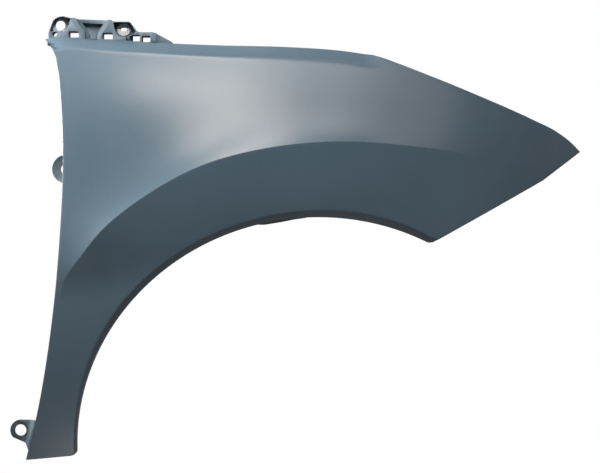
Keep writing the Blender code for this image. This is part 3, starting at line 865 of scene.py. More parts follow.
END_BLOCK_HEIGHT = 0.0015
HOLLOW_OUTLINES = {
    "left_arm_hollow": (
        (0.0215, 0.0095),
        (0.0262, 0.0085),
        (0.0300, -0.0010),
        (0.0318, -0.0072),
        (0.0140, -0.0072),
        (0.0168, 0.0008),
    ),
    "right_arm_hollow": (
        (0.0862, 0.0056),
        (0.0912, 0.0056),
        (0.0915, -0.0030),
        (0.0933, -0.0098),
        (0.0790, -0.0098),
        (0.0800, -0.0030),
    ),
    "end_hollow": (
        (0.1622, -0.0275),
        (0.1622, -0.0154),
        (0.1648, -0.0154),
        (0.1836, -0.0252),
        (0.1868, -0.0275),
    ),
    "foot_hollow": (
        (-0.0035, -0.0195),
        (-0.0035, -0.0135),
        (0.0112, -0.0135),
        (0.0112, -0.0195),
    ),
}
WEB_HOLLOW_OUTLINES = {
    "left_web_hollow": (
        (0.0355, -0.0195),
        (0.0355, -0.0070),
        (0.0395, -0.0070),
        (0.0460, -0.0160),
        (0.0468, -0.0195),
    ),
    "right_web_hollow": (
        (0.0655, -0.0140),
        (0.0712, -0.0085),
        (0.0712, -0.0200),
        (0.0648, -0.0200),
    ),
}

BRACKET_AT = Vector(door_edge[-1]) + Vector(BRACKET_FROM_CORNER)
corner_height = rear_corner.z - AXLE.z
bracket_front = rear_corner.y - AXLE.y - shoulder_roll(corner_height) + BRACKET_SETBACK
bracket_back = bracket_front + BRACKET_DEPTH
bracket_floor = bracket_back - BRACKET_FLOOR
before_bracket = bracket_front - END_BLOCK_HEIGHT - CUT_CLEARANCE
behind_bracket = bracket_back + CUT_CLEARANCE


def bracket_plate(name, outline, front, back):
    """A plate whose outline counts from the bracket's own point."""
    return plate(name, moved(outline, BRACKET_AT), front, back)


def bracket_block():
    """The block with its pockets and hollows."""
    outline = rounded(BRACKET_OUTLINE, BLOCK_CORNER)
    block = bracket_plate("rear_bracket", outline, bracket_front, bracket_back)
    raised = bracket_front - END_BLOCK_HEIGHT
    end_outline = oblong(*END_BLOCK, WINDOW_CORNER)
    end_block = bracket_plate("end_block", end_outline, raised, bracket_front + WALL / 2)
    combine(block, end_block, "UNION")
    web = bracket_front + BRACKET_WEB
    shade_depth = bracket_front + SHADE_POCKET_DEPTH
    pockets = (
        ("round_pocket", rounded(ROUND_POCKET, POCKET_CORNER), bracket_floor),
        ("web_pocket", rounded(WEB_POCKET, WEB_CORNER), web),
        ("funnel_pocket", rounded(FUNNEL_POCKET, WINDOW_CORNER), bracket_floor),
        ("pad_pocket", rounded(PAD_POCKET, POCKET_CORNER), bracket_floor),
        ("shade_pocket", oblong(*SHADE_POCKET, WINDOW_CORNER), shade_depth),
    )
    for name, outline, depth in pockets:
        combine(block, bracket_plate(name, outline, before_bracket, depth), "DIFFERENCE")
    for outlines, wall in ((HOLLOW_OUTLINES, bracket_front), (WEB_HOLLOW_OUTLINES, web)):
        for name, outline in outlines.items():
            outline = rounded(outline, WINDOW_CORNER)
            hollow = bracket_plate(name, outline, wall + WALL, behind_bracket)
            combine(block, hollow, "DIFFERENCE")
    return block


bracket = bracket_block()
print("bracket block:", len(bracket.data.polygons), "faces")

# %% [markdown]
# The bracket's pad, windows and holes.
# A round pad with a slot stands in the front pocket, where a screw can slide while the panel is
# set in line. The round hole beside the rear corner takes the fixed screw, and the windows take
# clips. They go straight through, so each is one cutter that is longer than the block is deep.

# %% Pierce the bracket
PAD_AT = (0.1098, -0.0044)
PAD_RADIUS = 0.0122
PAD_HEIGHT = 0.002
SLOT_LENGTH = 0.0118
SLOT_WIDTH = 0.0064
ROUND_HOLE_AT = (-0.0034, 0.0028)
ROUND_HOLE_RADIUS = 0.0088
SMALL_HOLE_AT = (-0.0106, -0.0150)
SMALL_HOLE_RADIUS = 0.0044
WINDOWS = (
    (0.0143, 0.0321, -0.0212, -0.0103),
    (0.0744, 0.0923, -0.0242, -0.0129),
    (0.1260, 0.1403, -0.0280, -0.0162),
    (0.1439, 0.1589, -0.0292, -0.0187),
)
BRACKET_EDGE = 0.0006

pad_front = bracket_floor - PAD_HEIGHT
pad = bracket_plate("round_pad", ring(PAD_AT, PAD_RADIUS), pad_front, bracket_floor + WALL / 2)
combine(bracket, pad, "UNION")
holes = [(f"window_{n + 1}", oblong(*window, WINDOW_CORNER)) for n, window in enumerate(WINDOWS)]
holes.append(("round_hole", ring(ROUND_HOLE_AT, ROUND_HOLE_RADIUS)))
holes.append(("small_hole", ring(SMALL_HOLE_AT, SMALL_HOLE_RADIUS)))
holes.append(("pad_slot", slot_outline(PAD_AT, SLOT_LENGTH, SLOT_WIDTH)))
for name, outline in holes:
    combine(bracket, bracket_plate(name, outline, before_bracket, behind_bracket), "DIFFERENCE")
break_edges(bracket, BRACKET_EDGE, SHARP_ANGLE)
shade(bracket)
print("bracket:", len(holes), "holes,", len(bracket.data.polygons), "faces")

# %% [markdown]
# The round tab on the door edge.
# Half way up, a round tab with a low rim sticks out behind the door edge, and its screw fixes the
# panel to the door pillar. A cylinder is the start: its front face is inset to the width of the
# rim, pushed in to make the dish, and a drill makes the hole.

# %% Shape the side tab
SIDE_TAB_HEIGHT = 0.4688
SIDE_TAB_RADIUS = 0.025
SIDE_TAB_HOLE_RADIUS = 0.0103
SIDE_TAB_INBOARD = 0.005
SIDE_TAB_RIM = 0.002
TAB_EDGE = 0.0005
TAB_SIDES = 96
FACING_FRONT = -0.9

side_tab_edge = edge_at_height(door_edge, SIDE_TAB_HEIGHT)
side_tab_centre = (side_tab_edge + SIDE_TAB_INBOARD, SIDE_TAB_HEIGHT)
side_tab_back = side_inset(side_tab_edge, SIDE_TAB_HEIGHT) + DOOR_FLANGE
side_tab_front = side_tab_back - WALL


def dished_disc(name, centre, radius, front, back, rim_width, rim_height):
    """A disc with a low rim round its front face."""
    deselect_all()
    middle = place_of(centre[0], (front - rim_height + back) / 2, centre[1])
    bpy.ops.mesh.primitive_cylinder_add(
        vertices=TAB_SIDES,
        radius=radius,
        depth=back - front + rim_height,
        location=middle,
        rotation=(math.pi / 2, 0, 0),
    )
    disc = new_piece(name)
    bpy.ops.object.transform_apply(location=True, rotation=True, scale=True)
    bpy.ops.object.mode_set(mode="EDIT")
    bpy.ops.mesh.select_mode(type="FACE")
    bpy.ops.object.mode_set(mode="OBJECT")
    for face in disc.data.polygons:
        face.select = face.normal.y < FACING_FRONT
    bpy.ops.object.mode_set(mode="EDIT")
    bpy.ops.mesh.inset(thickness=rim_width)
    bpy.ops.transform.translate(value=(0, rim_height, 0))
    bpy.ops.object.mode_set(mode="OBJECT")
    return disc


side_tab = dished_disc(
    "side_tab",
    side_tab_centre,
    SIDE_TAB_RADIUS,
    side_tab_front,
    side_tab_back,
    WALL,
    SIDE_TAB_RIM,
)
side_drill = plate(
    "side_tab_hole",
    ring(side_tab_centre, SIDE_TAB_HOLE_RADIUS, TAB_SIDES),
    side_tab_front - CUT_CLEARANCE,
    side_tab_back + CUT_CLEARANCE,
)
combine(side_tab, side_drill, "DIFFERENCE")
break_edges(side_tab, TAB_EDGE, SHARP_ANGLE)
shade(side_tab)
print("side tab:", len(side_tab.data.polygons), "faces")

# %% [markdown]
# The lower tab.
# At the foot a small ear with a screw hole stands out past the door edge. It is set back by a
# joggle, two light bends close to the edge. A bent strip is made first, from its section, and the
# ear's outline is then cut from it with an Intersect, which keeps the bends where they are.

# %% Shape the lower tab
LOWER_TAB_STRIP = 0.040
LOWER_TAB_TOP = 0.0170
LOWER_TAB_UNDERSIDE = ((-0.0155, -0.0217), (-0.0080, -0.0365))
LOWER_TAB_ARC = 135
LOWER_TAB_ARC_PIECES = 40
JOGGLE_INSET = 0.008
JOGGLE_START = 0.003
JOGGLE_END = 0.011
JOGGLE_ANGLE = math.radians(30)


def joggled_strip():
    """A strip bent twice beside the door edge, drawn as a section and extruded along the edge."""
    near = lower_tab_face - LOWER_TAB_INSET + JOGGLE_INSET
    reach = LOWER_TAB_REACH + LOWER_TAB_RADIUS + CUT_CLEARANCE
    inner = -2 * WALL
    section = (
        (inner, near),
        (JOGGLE_START, near),
        (JOGGLE_END, lower_tab_face),
        (reach, lower_tab_face),
        (reach, lower_tab_face + WALL),
        (JOGGLE_END - WALL / 2, lower_tab_face + WALL),
        (JOGGLE_START - WALL / 2, near + WALL),
        (inner, near + WALL),
    )
    below = edge_at_height(door_edge, LOWER_TAB_HEIGHT - LOWER_TAB_STRIP / 2)
    above = edge_at_height(door_edge, LOWER_TAB_HEIGHT + LOWER_TAB_STRIP / 2)
    along = Vector((above - below, 0, LOWER_TAB_STRIP)).normalized() * LOWER_TAB_STRIP
    foot = Vector((lower_tab_edge, 0, LOWER_TAB_HEIGHT)) - along
    places = [place_of(foot.x - out, inset, foot.z) for out, inset in section]
    return extruded_face("lower_tab", places, 2 * along)


def ear_outline():
    """Outline of the ear: an arc round the hole, an underside and an inner end in the panel."""
    outline = []
    for index in range(LOWER_TAB_ARC_PIECES + 1):
        turn = math.radians(90 + LOWER_TAB_ARC * index / LOWER_TAB_ARC_PIECES)
        x = lower_tab_centre.x + LOWER_TAB_RADIUS * math.cos(turn)
        outline.append((x, lower_tab_centre.y + LOWER_TAB_RADIUS * math.sin(turn)))
    underside = moved(LOWER_TAB_UNDERSIDE, (lower_tab_edge, LOWER_TAB_HEIGHT))
    inner_x = lower_tab_edge + 4 * WALL
    outline += [*underside, (inner_x, underside[-1][1])]
    return [*outline, (inner_x, LOWER_TAB_HEIGHT + LOWER_TAB_TOP)]


lower_tab = joggled_strip()
ear_front = lower_tab_face - LOWER_TAB_INSET
ear_back = lower_tab_face + 2 * WALL
combine(lower_tab, plate("lower_tab_ear", ear_outline(), ear_front, ear_back), "INTERSECT")
lower_drill = plate(
    "lower_tab_hole",
    ring(lower_tab_centre, LOWER_TAB_HOLE_RADIUS, TAB_SIDES),
    lower_tab_face - CUT_CLEARANCE,
    lower_tab_face + WALL + CUT_CLEARANCE,
)
combine(lower_tab, lower_drill, "DIFFERENCE")
break_edges(lower_tab, TAB_EDGE, JOGGLE_ANGLE)
shade(lower_tab)
print("lower tab:", len(lower_tab.data.polygons), "faces")

# %% [markdown]
# The two smallest forms.
# A low tab hangs under the top of the arch, where the wheel liner is fixed, and a round lug sits
# under the rear corner. Both are short plates whose outlines follow the lines of the panel.

# %% Shape the arch tab and the corner lug
ARCH_TAB_ANGLE = 99.0
ARCH_TAB_DROPS = (
    (104.5, 0.0005),
    (103.0, 0.0030),
    (ARCH_TAB_ANGLE, 0.0036),
    (96.0, 0.0020),
    (93.0, 0.0005),
)
ARCH_TAB_DEPTH = 0.006
CORNER_LUG_DROP = 0.0110
CORNER_LUG_RADIUS = 0.0028
CORNER_LUG_LENGTH = 0.010
CORNER_LUG_SIDES = 40


def arch_tab_outline():
    points = [arch_point(math.radians(angle), -drop) for angle, drop in ARCH_TAB_DROPS]
    points += [arch_point(math.radians(angle), WALL) for angle, _ in reversed(ARCH_TAB_DROPS)]
    return [tuple(point) for point in points]


arch_tab_x = place_of(arch_point(math.radians(ARCH_TAB_ANGLE)).x, 0, 0).x
nearest = min(columns, key=lambda column: abs(column[0].x - arch_tab_x))
arch_tab_back = nearest[0].y - AXLE.y + ARCH_FLANGE
arch_tab_front = arch_tab_back - ARCH_TAB_DEPTH
arch_tab = plate("arch_tab", arch_tab_outline(), arch_tab_front, arch_tab_back)
lug_z = corner_height - CORNER_LUG_DROP
lug_at = (edge_at_height(door_edge, lug_z), lug_z)
lug_front = side_inset(*lug_at) + 2 * WALL
lug_outline = ring(lug_at, CORNER_LUG_RADIUS, CORNER_LUG_SIDES)
corner_lug = plate("corner_lug", lug_outline, lug_front, lug_front + CORNER_LUG_LENGTH)
for small_piece in (arch_tab, corner_lug):
    break_edges(small_piece, TAB_EDGE, SHARP_ANGLE)
    shade(small_piece)
    print(small_piece.name, len(small_piece.data.polygons), "faces")

# %% [markdown]
# Effects that the finish is made of.
# Bare moulded plastic is never one flat colour. Its grain is a fine stipple left by the mould, the
# pigment drifts a little from place to place, and handling leaves faint rubbed marks. Other groups
# mask the walls, the deep pockets and round spots, where shade and light are painted into the
# colour. Each effect is a small node group with its own inputs, built once, and reads the object's
# own coordinates, so nothing slides when the camera moves.

# %% Build the shared effects
NUMBER = "NodeSocketFloat"
COLOUR = "NodeSocketColor"
VECTOR = "NodeSocketVector"

STIPPLE_DETAIL = 3.0
STIPPLE_SHARE = 0.75
WAVE_DETAIL = 1.0
STREAK_STRETCH = (1.0, 1.0, 9.0)
STREAK_TURN = (0.0, math.radians(24), 0.0)
PROUD_RANGE = (0.515, 0.60)
STEEP_RANGE = (0.62, 0.30)
LIP_RANGE = (0.35, 1.00)
POCKET_SAMPLES = 8
POCKET_REACH = 0.008
POCKET_RANGE = (0.80, 0.35)
SEAT_FLATNESS = (1.0, 6.0, 1.0)
SEAT_RIM = (1.0, 0.9)

# Clouds break an effect up: a noise's scale and detail, and the part of its range that counts
DRIFT_CLOUDS = (5.0, 3.0, 0.35, 0.65)
SPECK_CLOUDS = (900.0, 2.0, 0.62, 0.78)
STREAK_CLOUDS = (22.0, 5.0, 0.52, 0.72)
PATCH_CLOUDS = (7.0, 2.0, 0.45, 0.62)
EDGE_CLOUDS = (60.0, 3.0, 0.30, 0.60)
WALL_CLOUDS = (300.0, 3.0, 0.05, 0.40)
POCKET_CLOUDS = (120.0, 3.0, 0.10, 0.45)
SEAT_CLOUDS = (260.0, 3.0, 0.15, 0.45)
RIB_CLOUDS = (180.0, 4.0, 0.10, 0.45)


def new_group(name, result, kind, *inputs):
    """A group that reads a Vector and more inputs, with its inputs and its result's socket."""
    group = bpy.data.node_groups.new(name, "ShaderNodeTree")
    for title, input_kind in (("Vector", VECTOR), *inputs):
        group.interface.new_socket(title, in_out="INPUT", socket_type=input_kind)
    group.interface.new_socket(result, in_out="OUTPUT", socket_type=kind)
    entry = group.nodes.new("NodeGroupInput")
    leave = group.nodes.new("NodeGroupOutput")
    return group, entry.outputs, leave.inputs[result]


def feed(tree, source, socket):
    """Links an output to a socket, or sets a plain value on it."""
    if isinstance(source, bpy.types.NodeSocket):
        tree.links.new(source, socket)
    else:
        socket.default_value = source


def fed_node(tree, kind, operation, sources):
    """A Math or Vector Math node with its sources fed in order."""
    node = tree.nodes.new(kind)
    node.operation = operation
    for source, socket in zip(sources, node.inputs):
        feed(tree, source, socket)
    return node


def math_node(tree, operation, *sources):
    return fed_node(tree, "ShaderNodeMath", operation, sources).outputs["Value"]


def vector_node(tree, operation, *sources, result="Vector"):
    return fed_node(tree, "ShaderNodeVectorMath", operation, sources).outputs[result]


def noise(tree, vector, scale, detail):
    node = tree.nodes.new("ShaderNodeTexNoise")
    for source, name in ((vector, "Vector"), (scale, "Scale"), (detail, "Detail")):
        feed(tree, source, node.inputs[name])
    return node.outputs["Fac"]


def stretch_range(tree, value, low, high):
    """Stretches the part of a value between low and high to 0 to 1."""
    node = tree.nodes.new("ShaderNodeMapRange")
    for source, name in ((value, "Value"), (low, "From Min"), (high, "From Max")):
        feed(tree, source, node.inputs[name])
    return node.outputs["Result"]


def clouds(tree, vector, kind):
    """Noise of one kind, stretched to 0 to 1."""
    scale, detail, low, high = kind
    return stretch_range(tree, noise(tree, vector, scale, detail), low, high)


def mix(tree, share, first, second, kind="FLOAT"):
    """Goes from the first to the second by a share: values, or colours with the kind RGBA."""
    node = tree.nodes.new("ShaderNodeMix")
    node.data_type = kind
    for source, name in ((share, "Factor"), (first, "A"), (second, "B")):
        feed(tree, source, node.inputs[name])
    return node.outputs["Result"]


def mould_grain_group():
    """Fine stipple of the mould, with a slow waviness of the surface under it."""
    scales = (("Stipple Scale", NUMBER), ("Wave Scale", NUMBER))
    group, entry, height = new_group("mould_grain", "Height", NUMBER, *scales)
    stipple = noise(group, entry["Vector"], entry["Stipple Scale"], STIPPLE_DETAIL)
    waves = noise(group, entry["Vector"], entry["Wave Scale"], WAVE_DETAIL)
    feed(group, mix(group, STIPPLE_SHARE, waves, stipple), height)
    return group


def pigment_group():
    """Two tones of the plastic that drift into each other, with fine specks."""
    tones = (("Light Tone", COLOUR), ("Dark Tone", COLOUR), ("Speck Tone", COLOUR))
    group, entry, colour = new_group("pigment_drift", "Color", COLOUR, *tones)
    drift = clouds(group, entry["Vector"], DRIFT_CLOUDS)
    tone = mix(group, drift, entry["Light Tone"], entry["Dark Tone"], "RGBA")
    specks = clouds(group, entry["Vector"], SPECK_CLOUDS)
    feed(group, mix(group, specks, tone, entry["Speck Tone"], "RGBA"), colour)
    return group


def rubbed_group():
    """Mask of faint marks from handling: long soft streaks, broken up by patches."""
    group, entry, mask = new_group("rubbed_marks", "Mask", NUMBER)
    stretch = group.nodes.new("ShaderNodeMapping")
    stretch.inputs["Scale"].default_value = STREAK_STRETCH
    stretch.inputs["Rotation"].default_value = STREAK_TURN
    feed(group, entry["Vector"], stretch.inputs["Vector"])
    streaks = clouds(group, stretch.outputs["Vector"], STREAK_CLOUDS)
    patches = clouds(group, entry["Vector"], PATCH_CLOUDS)
    feed(group, math_node(group, "MULTIPLY", streaks, patches), mask)
    return group


def polished_edge_group():
    """Mask of the proud edges, where the grain is rubbed smooth."""
    group, entry, mask = new_group("polished_edges", "Mask", NUMBER)
    shape = group.nodes.new("ShaderNodeNewGeometry")
    proud = stretch_range(group, shape.outputs["Pointiness"], *PROUD_RANGE)
    broken = clouds(group, entry["Vector"], EDGE_CLOUDS)
    feed(group, math_node(group, "MULTIPLY", proud, broken), mask)
    return group


def side_wall_group():
    """Mask of walls along the mould's draw and of the arch's lip, which get painted shade and a
    rough skin.
    """
    group, entry, mask = new_group("side_walls_shade", "Mask", NUMBER, ("Axle", VECTOR))
    normal = group.nodes.new("ShaderNodeNewGeometry").outputs["True Normal"]
    parts = group.nodes.new("ShaderNodeSeparateXYZ")
    feed(group, normal, parts.inputs["Vector"])
    steep = stretch_range(group, math_node(group, "ABSOLUTE", parts.outputs["Y"]), *STEEP_RANGE)
    inward = vector_node(group, "SUBTRACT", entry["Axle"], entry["Vector"])
    level = vector_node(group, "MULTIPLY", inward, (1.0, 0.0, 1.0))
    way = vector_node(group, "NORMALIZE", level)
    towards = vector_node(group, "DOT_PRODUCT", way, normal, result="Value")
    either = math_node(group, "MAXIMUM", steep, stretch_range(group, towards, *LIP_RANGE))
    uneven = clouds(group, entry["Vector"], WALL_CLOUDS)
    feed(group, math_node(group, "MULTIPLY", either, uneven), mask)
    return group


def pocket_shade_group():
    """Mask of deep pockets and inner corners, where shade is painted into the colour and the
    plastic is rougher.
    """
    group, entry, mask = new_group("pocket_shade", "Mask", NUMBER)
    open_sky = group.nodes.new("ShaderNodeAmbientOcclusion")
    open_sky.samples = POCKET_SAMPLES
    open_sky.inputs["Distance"].default_value = POCKET_REACH
    depth = stretch_range(group, open_sky.outputs["AO"], *POCKET_RANGE)
    uneven = clouds(group, entry["Vector"], POCKET_CLOUDS)
    feed(group, math_node(group, "MULTIPLY", depth, uneven), mask)
    return group


def painted_spot_group():
    """Mask of a flat round spot, where light or shade is painted into the colour."""
    place = (("Centre", VECTOR), ("Reach", NUMBER))
    group, entry, mask = new_group("painted_spot", "Mask", NUMBER, *place)
    away = vector_node(group, "SUBTRACT", entry["Vector"], entry["Centre"])
    flat = vector_node(group, "MULTIPLY", away, SEAT_FLATNESS)
    distance = vector_node(group, "LENGTH", flat, result="Value")
    disc = stretch_range(group, math_node(group, "DIVIDE", distance, entry["Reach"]), *SEAT_RIM)
    uneven = clouds(group, entry["Vector"], SEAT_CLOUDS)
    feed(group, math_node(group, "MULTIPLY", disc, uneven), mask)
    return group


def rib_group():
    """Mask of the ribs behind the side, where the mould is left rough and the plastic is paler."""
    limits = (("Inset", NUMBER), ("Height", NUMBER))
    group, entry, mask = new_group("rough_ribs", "Mask", NUMBER, *limits)
    parts = group.nodes.new("ShaderNodeSeparateXYZ")
    feed(group, entry["Vector"], parts.inputs["Vector"])
    rough = clouds(group, entry["Vector"], RIB_CLOUDS)
    for limit, axis in (("Inset", "Y"), ("Height", "Z")):
        beyond = math_node(group, "GREATER_THAN", parts.outputs[axis], entry[limit])
        rough = math_node(group, "MULTIPLY", rough, beyond)
    feed(group, rough, mask)
    return group


grain_group = mould_grain_group()
drift_group = pigment_group()
marks_group = rubbed_group()
edge_group = polished_edge_group()
spot_group = painted_spot_group()
wall_group = side_wall_group()
depth_group = pocket_shade_group()
ribs_group = rib_group()
print("effects:", [group.name for group in bpy.data.node_groups])

# %% [markdown]
# The moulded plastic.
# All of the panel is one material, so it takes one finish. The pigment group gives the colour, and
# each mask then tints it: the polished edges and the ribs, then painted shade in the deep pockets,
# painted light and shade on round spots of the bracket and the tabs, and painted shade on the walls
# and the arch's lip. The same masks change the roughness, and the grain is a bump that is a few
# hundredths of a millimetre deep. The sheen of the plastic is the same everywhere, so it is set on
# the shader's own sockets.

# %% Mix the moulded plastic
LIGHT_TONE = (0.043, 0.078, 0.113, 1)
DARK_TONE = (0.036, 0.067, 0.099, 1)
SPECK_TONE = (0.068, 0.104, 0.140, 1)
EDGE_TONE = (0.150, 0.190, 0.215, 1)
# Painted shade on the walls and the arch's lip, where the lights do not reach.
WALL_PAINTED_SHADE = (0.018, 0.027, 0.035, 1)
# Painted shade in the deep pockets and inner corners.
POCKET_PAINTED_SHADE = (0.014, 0.022, 0.030, 1)
RIB_TONE = (0.050, 0.083, 0.118, 1)
SATIN_ROUGHNESS = 0.27
RUBBED_ROUGHNESS = 0.24
EDGE_ROUGHNESS = 0.27
RIB_ROUGHNESS = 0.55
WALL_ROUGHNESS = 0.95
POCKET_ROUGHNESS = 0.85
SPECULAR_LEVEL = 0.3
STIPPLE_SCALE = 1400.0
WAVE_SCALE = 55.0
GRAIN_DEPTH = 0.00003

# Painted light on the pad, on the pocket floors and in the side tab's dish, which the lights barely
# reach, and painted shade on the lower tab's ring and the corner lug.
PAD_PAINTED_LIGHT = (0.76, 0.82, 0.84, 1)
FLOOR_PAINTED_LIGHT = (0.46, 0.58, 0.68, 1)
FUNNEL_PAINTED_LIGHT = (0.14, 0.20, 0.27, 1)
TAB_PAINTED_LIGHT = (0.110, 0.155, 0.190, 1)
PAINTED_SEAT_SHADE = (0.022, 0.036, 0.050, 1)
SEAT_OFFSET = 0.0035
SEAT_MARGIN = 1.25
FUNNEL_MIDDLE = (0.0562, -0.0040)
FUNNEL_REACH = 0.0200


def bracket_place(place, inset):
    """A place of the bracket, counted from the panel's own origin."""
    at = BRACKET_AT + Vector(place)
    return place_of(at.x, inset, at.y)


side_seat = place_of(side_tab_centre[0], side_tab_front, SIDE_TAB_HEIGHT)
lower_seat = place_of(lower_tab_centre.x - SEAT_OFFSET, lower_tab_face, LOWER_TAB_HEIGHT)
lug_seat = place_of(lug_at[0], lug_front, lug_at[1])
# Round spots of painted light and shade, each a centre, a reach and a tone.
PAINTED_SPOTS = (
    (bracket_place(ROUND_HOLE_AT, bracket_floor), 2 * ROUND_HOLE_RADIUS, FLOOR_PAINTED_LIGHT),
    (bracket_place(FUNNEL_MIDDLE, bracket_floor), FUNNEL_REACH, FUNNEL_PAINTED_LIGHT),
    (bracket_place(PAD_AT, bracket_floor), 2 * PAD_RADIUS, FUNNEL_PAINTED_LIGHT),
    (bracket_place(PAD_AT, pad_front), PAD_RADIUS, PAD_PAINTED_LIGHT),
    (side_seat, SEAT_MARGIN * SIDE_TAB_RADIUS, TAB_PAINTED_LIGHT),
    (lower_seat, LOWER_TAB_RADIUS, PAINTED_SEAT_SHADE),
    (lug_seat, SEAT_MARGIN * CORNER_LUG_RADIUS, PAINTED_SEAT_SHADE),
)


def place_group(tree, group, vector, *settings):
    """Puts a group into the material with its own settings, and returns what it puts out."""
    node = tree.nodes.new("ShaderNodeGroup")
    node.node_tree = group
    for name, value in (("Vector", vector), *settings):
        feed(tree, value, node.inputs[name])
    return node.outputs[0]


def moulded_plastic():
    material = bpy.data.materials.new(PLASTIC_SLOT)
    material.use_nodes = True
    tree = material.node_tree
    shader = tree.nodes["Principled BSDF"]
    coordinates = tree.nodes.new("ShaderNodeTexCoord").outputs["Object"]

    tones = (("Light Tone", LIGHT_TONE), ("Dark Tone", DARK_TONE), ("Speck Tone", SPECK_TONE))
    tone = place_group(tree, drift_group, coordinates, *tones)
    rubbed = place_group(tree, marks_group, coordinates)
    edges = place_group(tree, edge_group, coordinates)
    walls = place_group(tree, wall_group, coordinates, ("Axle", AXLE))
    pockets = place_group(tree, depth_group, coordinates)
    rib_inset = place_of(0, bracket_front - CUT_CLEARANCE / 2, 0).y
    rib_limits = (("Inset", rib_inset), ("Height", rear_corner.z - CORNER_LUG_DROP))
    ribs = place_group(tree, ribs_group, coordinates, *rib_limits)

    # Painted shade in the pockets and on the walls, and painted light and shade on the round spots,
    # go into the colour here.
    tints = [(edges, EDGE_TONE), (ribs, RIB_TONE), (pockets, POCKET_PAINTED_SHADE)]
    for centre, reach, spot_tone in PAINTED_SPOTS:
        limits = (("Centre", centre), ("Reach", reach))
        tints.append((place_group(tree, spot_group, coordinates, *limits), spot_tone))
    for mask, tint in (*tints, (walls, WALL_PAINTED_SHADE)):
        tone = mix(tree, mask, tone, tint, "RGBA")
    feed(tree, tone, shader.inputs["Base Color"])

    roughness = SATIN_ROUGHNESS
    for mask, value in (
        (rubbed, RUBBED_ROUGHNESS),
        (edges, EDGE_ROUGHNESS),
        (ribs, RIB_ROUGHNESS),
        (walls, WALL_ROUGHNESS),
        (pockets, POCKET_ROUGHNESS),
    ):
        roughness = mix(tree, mask, roughness, value)
    feed(tree, roughness, shader.inputs["Roughness"])

    scales = (("Stipple Scale", STIPPLE_SCALE), ("Wave Scale", WAVE_SCALE))
    bump = tree.nodes.new("ShaderNodeBump")
    bump.inputs["Distance"].default_value = GRAIN_DEPTH
    feed(tree, place_group(tree, grain_group, coordinates, *scales), bump.inputs["Height"])
    feed(tree, bump.outputs["Normal"], shader.inputs["Normal"])
    shader.inputs["Metallic"].default_value = 0.0
    shader.inputs["Specular IOR Level"].default_value = SPECULAR_LEVEL
    return material


plastic = moulded_plastic()
pieces = (skin, bracket, side_tab, lower_tab, arch_tab, corner_lug)
for piece in pieces:
    piece.data.materials.clear()
    piece.data.materials.append(plastic)
    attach(piece, PANEL_BODY)
    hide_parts(PANEL_NODE)
print("pieces finished:", [piece.name for piece in pieces])

# %% [markdown]
# The studio.
# A plain pale floor lies well below the panel. Large soft lights stand round it, and the world is a
# low even fill. The background is white to the camera, and to what is mirrored or seen through, so
# that it looks like a plain studio sheet. The floor glows a little to the camera in the same way,
# and fully at its rim, where it melts into the white.

# %% Light the studio
FLOOR_DROP = 0.45
FLOOR_RADIUS = 3.0
FLOOR_FORWARD = 1.2
FLOOR_SIDES = 96
FLOOR_FADE = (0.35, 0.98)
FLOOR_TONE = (0.86, 0.86, 0.86, 1)
FLOOR_GLOW = 0.5
FILL_STRENGTH = 0.02
WARM_WHITE = (1.0, 0.915, 0.84)
LATE_WHITE = (1.0, 0.82, 0.69)
PANEL_MIDDLE = place_of(0.0, 0.05, 0.42)
SOFTBOXES = (
    ("key_low", -21.0, 43.0, 1.15, 0.36, 0.17, 5.3, WARM_WHITE),
    ("key_high", -31.0, 58.0, 1.15, 0.38, 0.20, 5.0, WARM_WHITE),
    ("front_top", 3.0, 52.0, 1.15, 0.61, 0.28, 5.0, WARM_WHITE),
    ("front_edge", 33.0, 46.5, 1.15, 0.18, 0.31, 0.9, WARM_WHITE),
    ("front_side", 51.0, 38.5, 1.15, 0.37, 0.60, 2.0, WARM_WHITE),
    ("front_high", 35.0, 74.0, 1.15, 0.80, 0.45, 1.6, WARM_WHITE),
    ("rear_high", -55.0, 60.0, 1.15, 0.55, 0.35, 1.7, LATE_WHITE),
    ("rear_side", -88.0, 21.0, 1.15, 0.40, 0.46, 60.0, LATE_WHITE),
    ("under", -35.0, -42.0, 1.15, 0.22, 0.22, 0.8, WARM_WHITE),
    ("back", 180.0, 14.0, 1.60, 1.30, 0.90, 9.0, WARM_WHITE),
)


def softbox(name, azimuth, elevation, distance, width, height, watts, colour):
    """A soft rectangular light that faces the middle of the panel."""
    light = bpy.data.lights.new(name, "AREA")
    light.shape = "RECTANGLE"
    light.size = width
    light.size_y = height
    light.energy = watts
    light.color = colour
    lamp = bpy.data.objects.new(name, light)
    bpy.context.scene.collection.objects.link(lamp)
    around = math.radians(azimuth)
    up = math.radians(elevation)
    level = math.cos(up)
    away = Vector((math.sin(around) * level, -math.cos(around) * level, math.sin(up)))
    lamp.location = PANEL_MIDDLE + away * distance
    lamp.rotation_euler = away.to_track_quat("Z", "Y").to_euler()
    lamp.visible_camera = False
    return lamp


def seen_directly(tree):
    """1 where the camera, a mirror or glass looks at a thing, and 0 where it only gives light."""
    path = tree.nodes.new("ShaderNodeLightPath")
    total = path.outputs["Is Camera Ray"]
    for name in ("Is Glossy Ray", "Is Transmission Ray"):
        total = math_node(tree, "MAXIMUM", total, path.outputs[name])
    return total


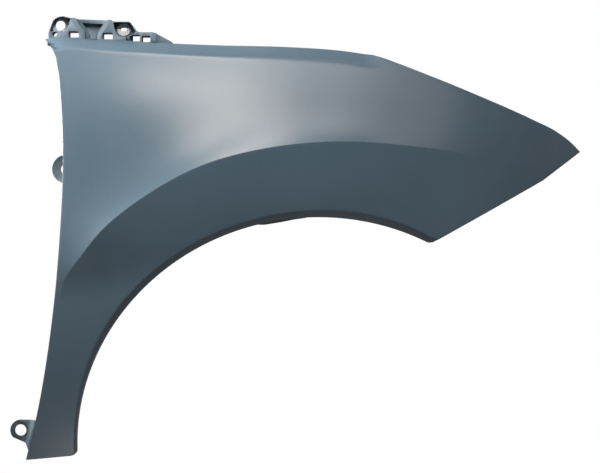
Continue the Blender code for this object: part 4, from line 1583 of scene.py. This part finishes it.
def white_world():
    world = bpy.data.worlds.new("studio")
    world.use_nodes = True
    tree = world.node_tree
    background = tree.nodes["Background"]
    background.inputs["Color"].default_value = (1, 1, 1, 1)
    strength = mix(tree, seen_directly(tree), FILL_STRENGTH, 1.0)
    feed(tree, strength, background.inputs["Strength"])
    bpy.context.scene.world = world


def studio_floor():
    """A pale round floor whose rim melts into the white background."""
    deselect_all()
    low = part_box(PANEL_NODE)[0].z - FLOOR_DROP
    centre = (PANEL_MIDDLE.x, PANEL_MIDDLE.y - FLOOR_FORWARD, low)
    bpy.ops.mesh.primitive_circle_add(
        vertices=FLOOR_SIDES, radius=FLOOR_RADIUS, fill_type="NGON", location=centre
    )
    floor = new_piece("studio_floor")
    material = bpy.data.materials.new("studio_floor")
    material.use_nodes = True
    tree = material.node_tree
    tree.nodes.remove(tree.nodes["Principled BSDF"])
    matt = tree.nodes.new("ShaderNodeBsdfDiffuse")
    matt.inputs["Color"].default_value = FLOOR_TONE
    glow = tree.nodes.new("ShaderNodeEmission")
    feed(tree, seen_directly(tree), glow.inputs["Strength"])
    coordinates = tree.nodes.new("ShaderNodeTexCoord").outputs["Object"]
    away = vector_node(tree, "LENGTH", coordinates, result="Value")
    fade = tree.nodes.new("ShaderNodeMapRange")
    fade.interpolation_type = "SMOOTHERSTEP"
    near, far = (FLOOR_RADIUS * share for share in FLOOR_FADE)
    for source, name in (
        (away, "Value"),
        (near, "From Min"),
        (far, "From Max"),
        (FLOOR_GLOW, "To Min"),
    ):
        feed(tree, source, fade.inputs[name])
    blend = tree.nodes.new("ShaderNodeMixShader")
    tree.links.new(fade.outputs["Result"], blend.inputs["Fac"])
    tree.links.new(matt.outputs["BSDF"], blend.inputs[1])
    tree.links.new(glow.outputs["Emission"], blend.inputs[2])
    tree.links.new(blend.outputs["Shader"], tree.nodes["Material Output"].inputs["Surface"])
    floor.data.materials.append(material)
    return floor


for box in SOFTBOXES:
    softbox(*box)
white_world()
studio_floor()
bpy.context.scene.view_settings.view_transform = "Standard"
print("lights:", [box[0] for box in SOFTBOXES])
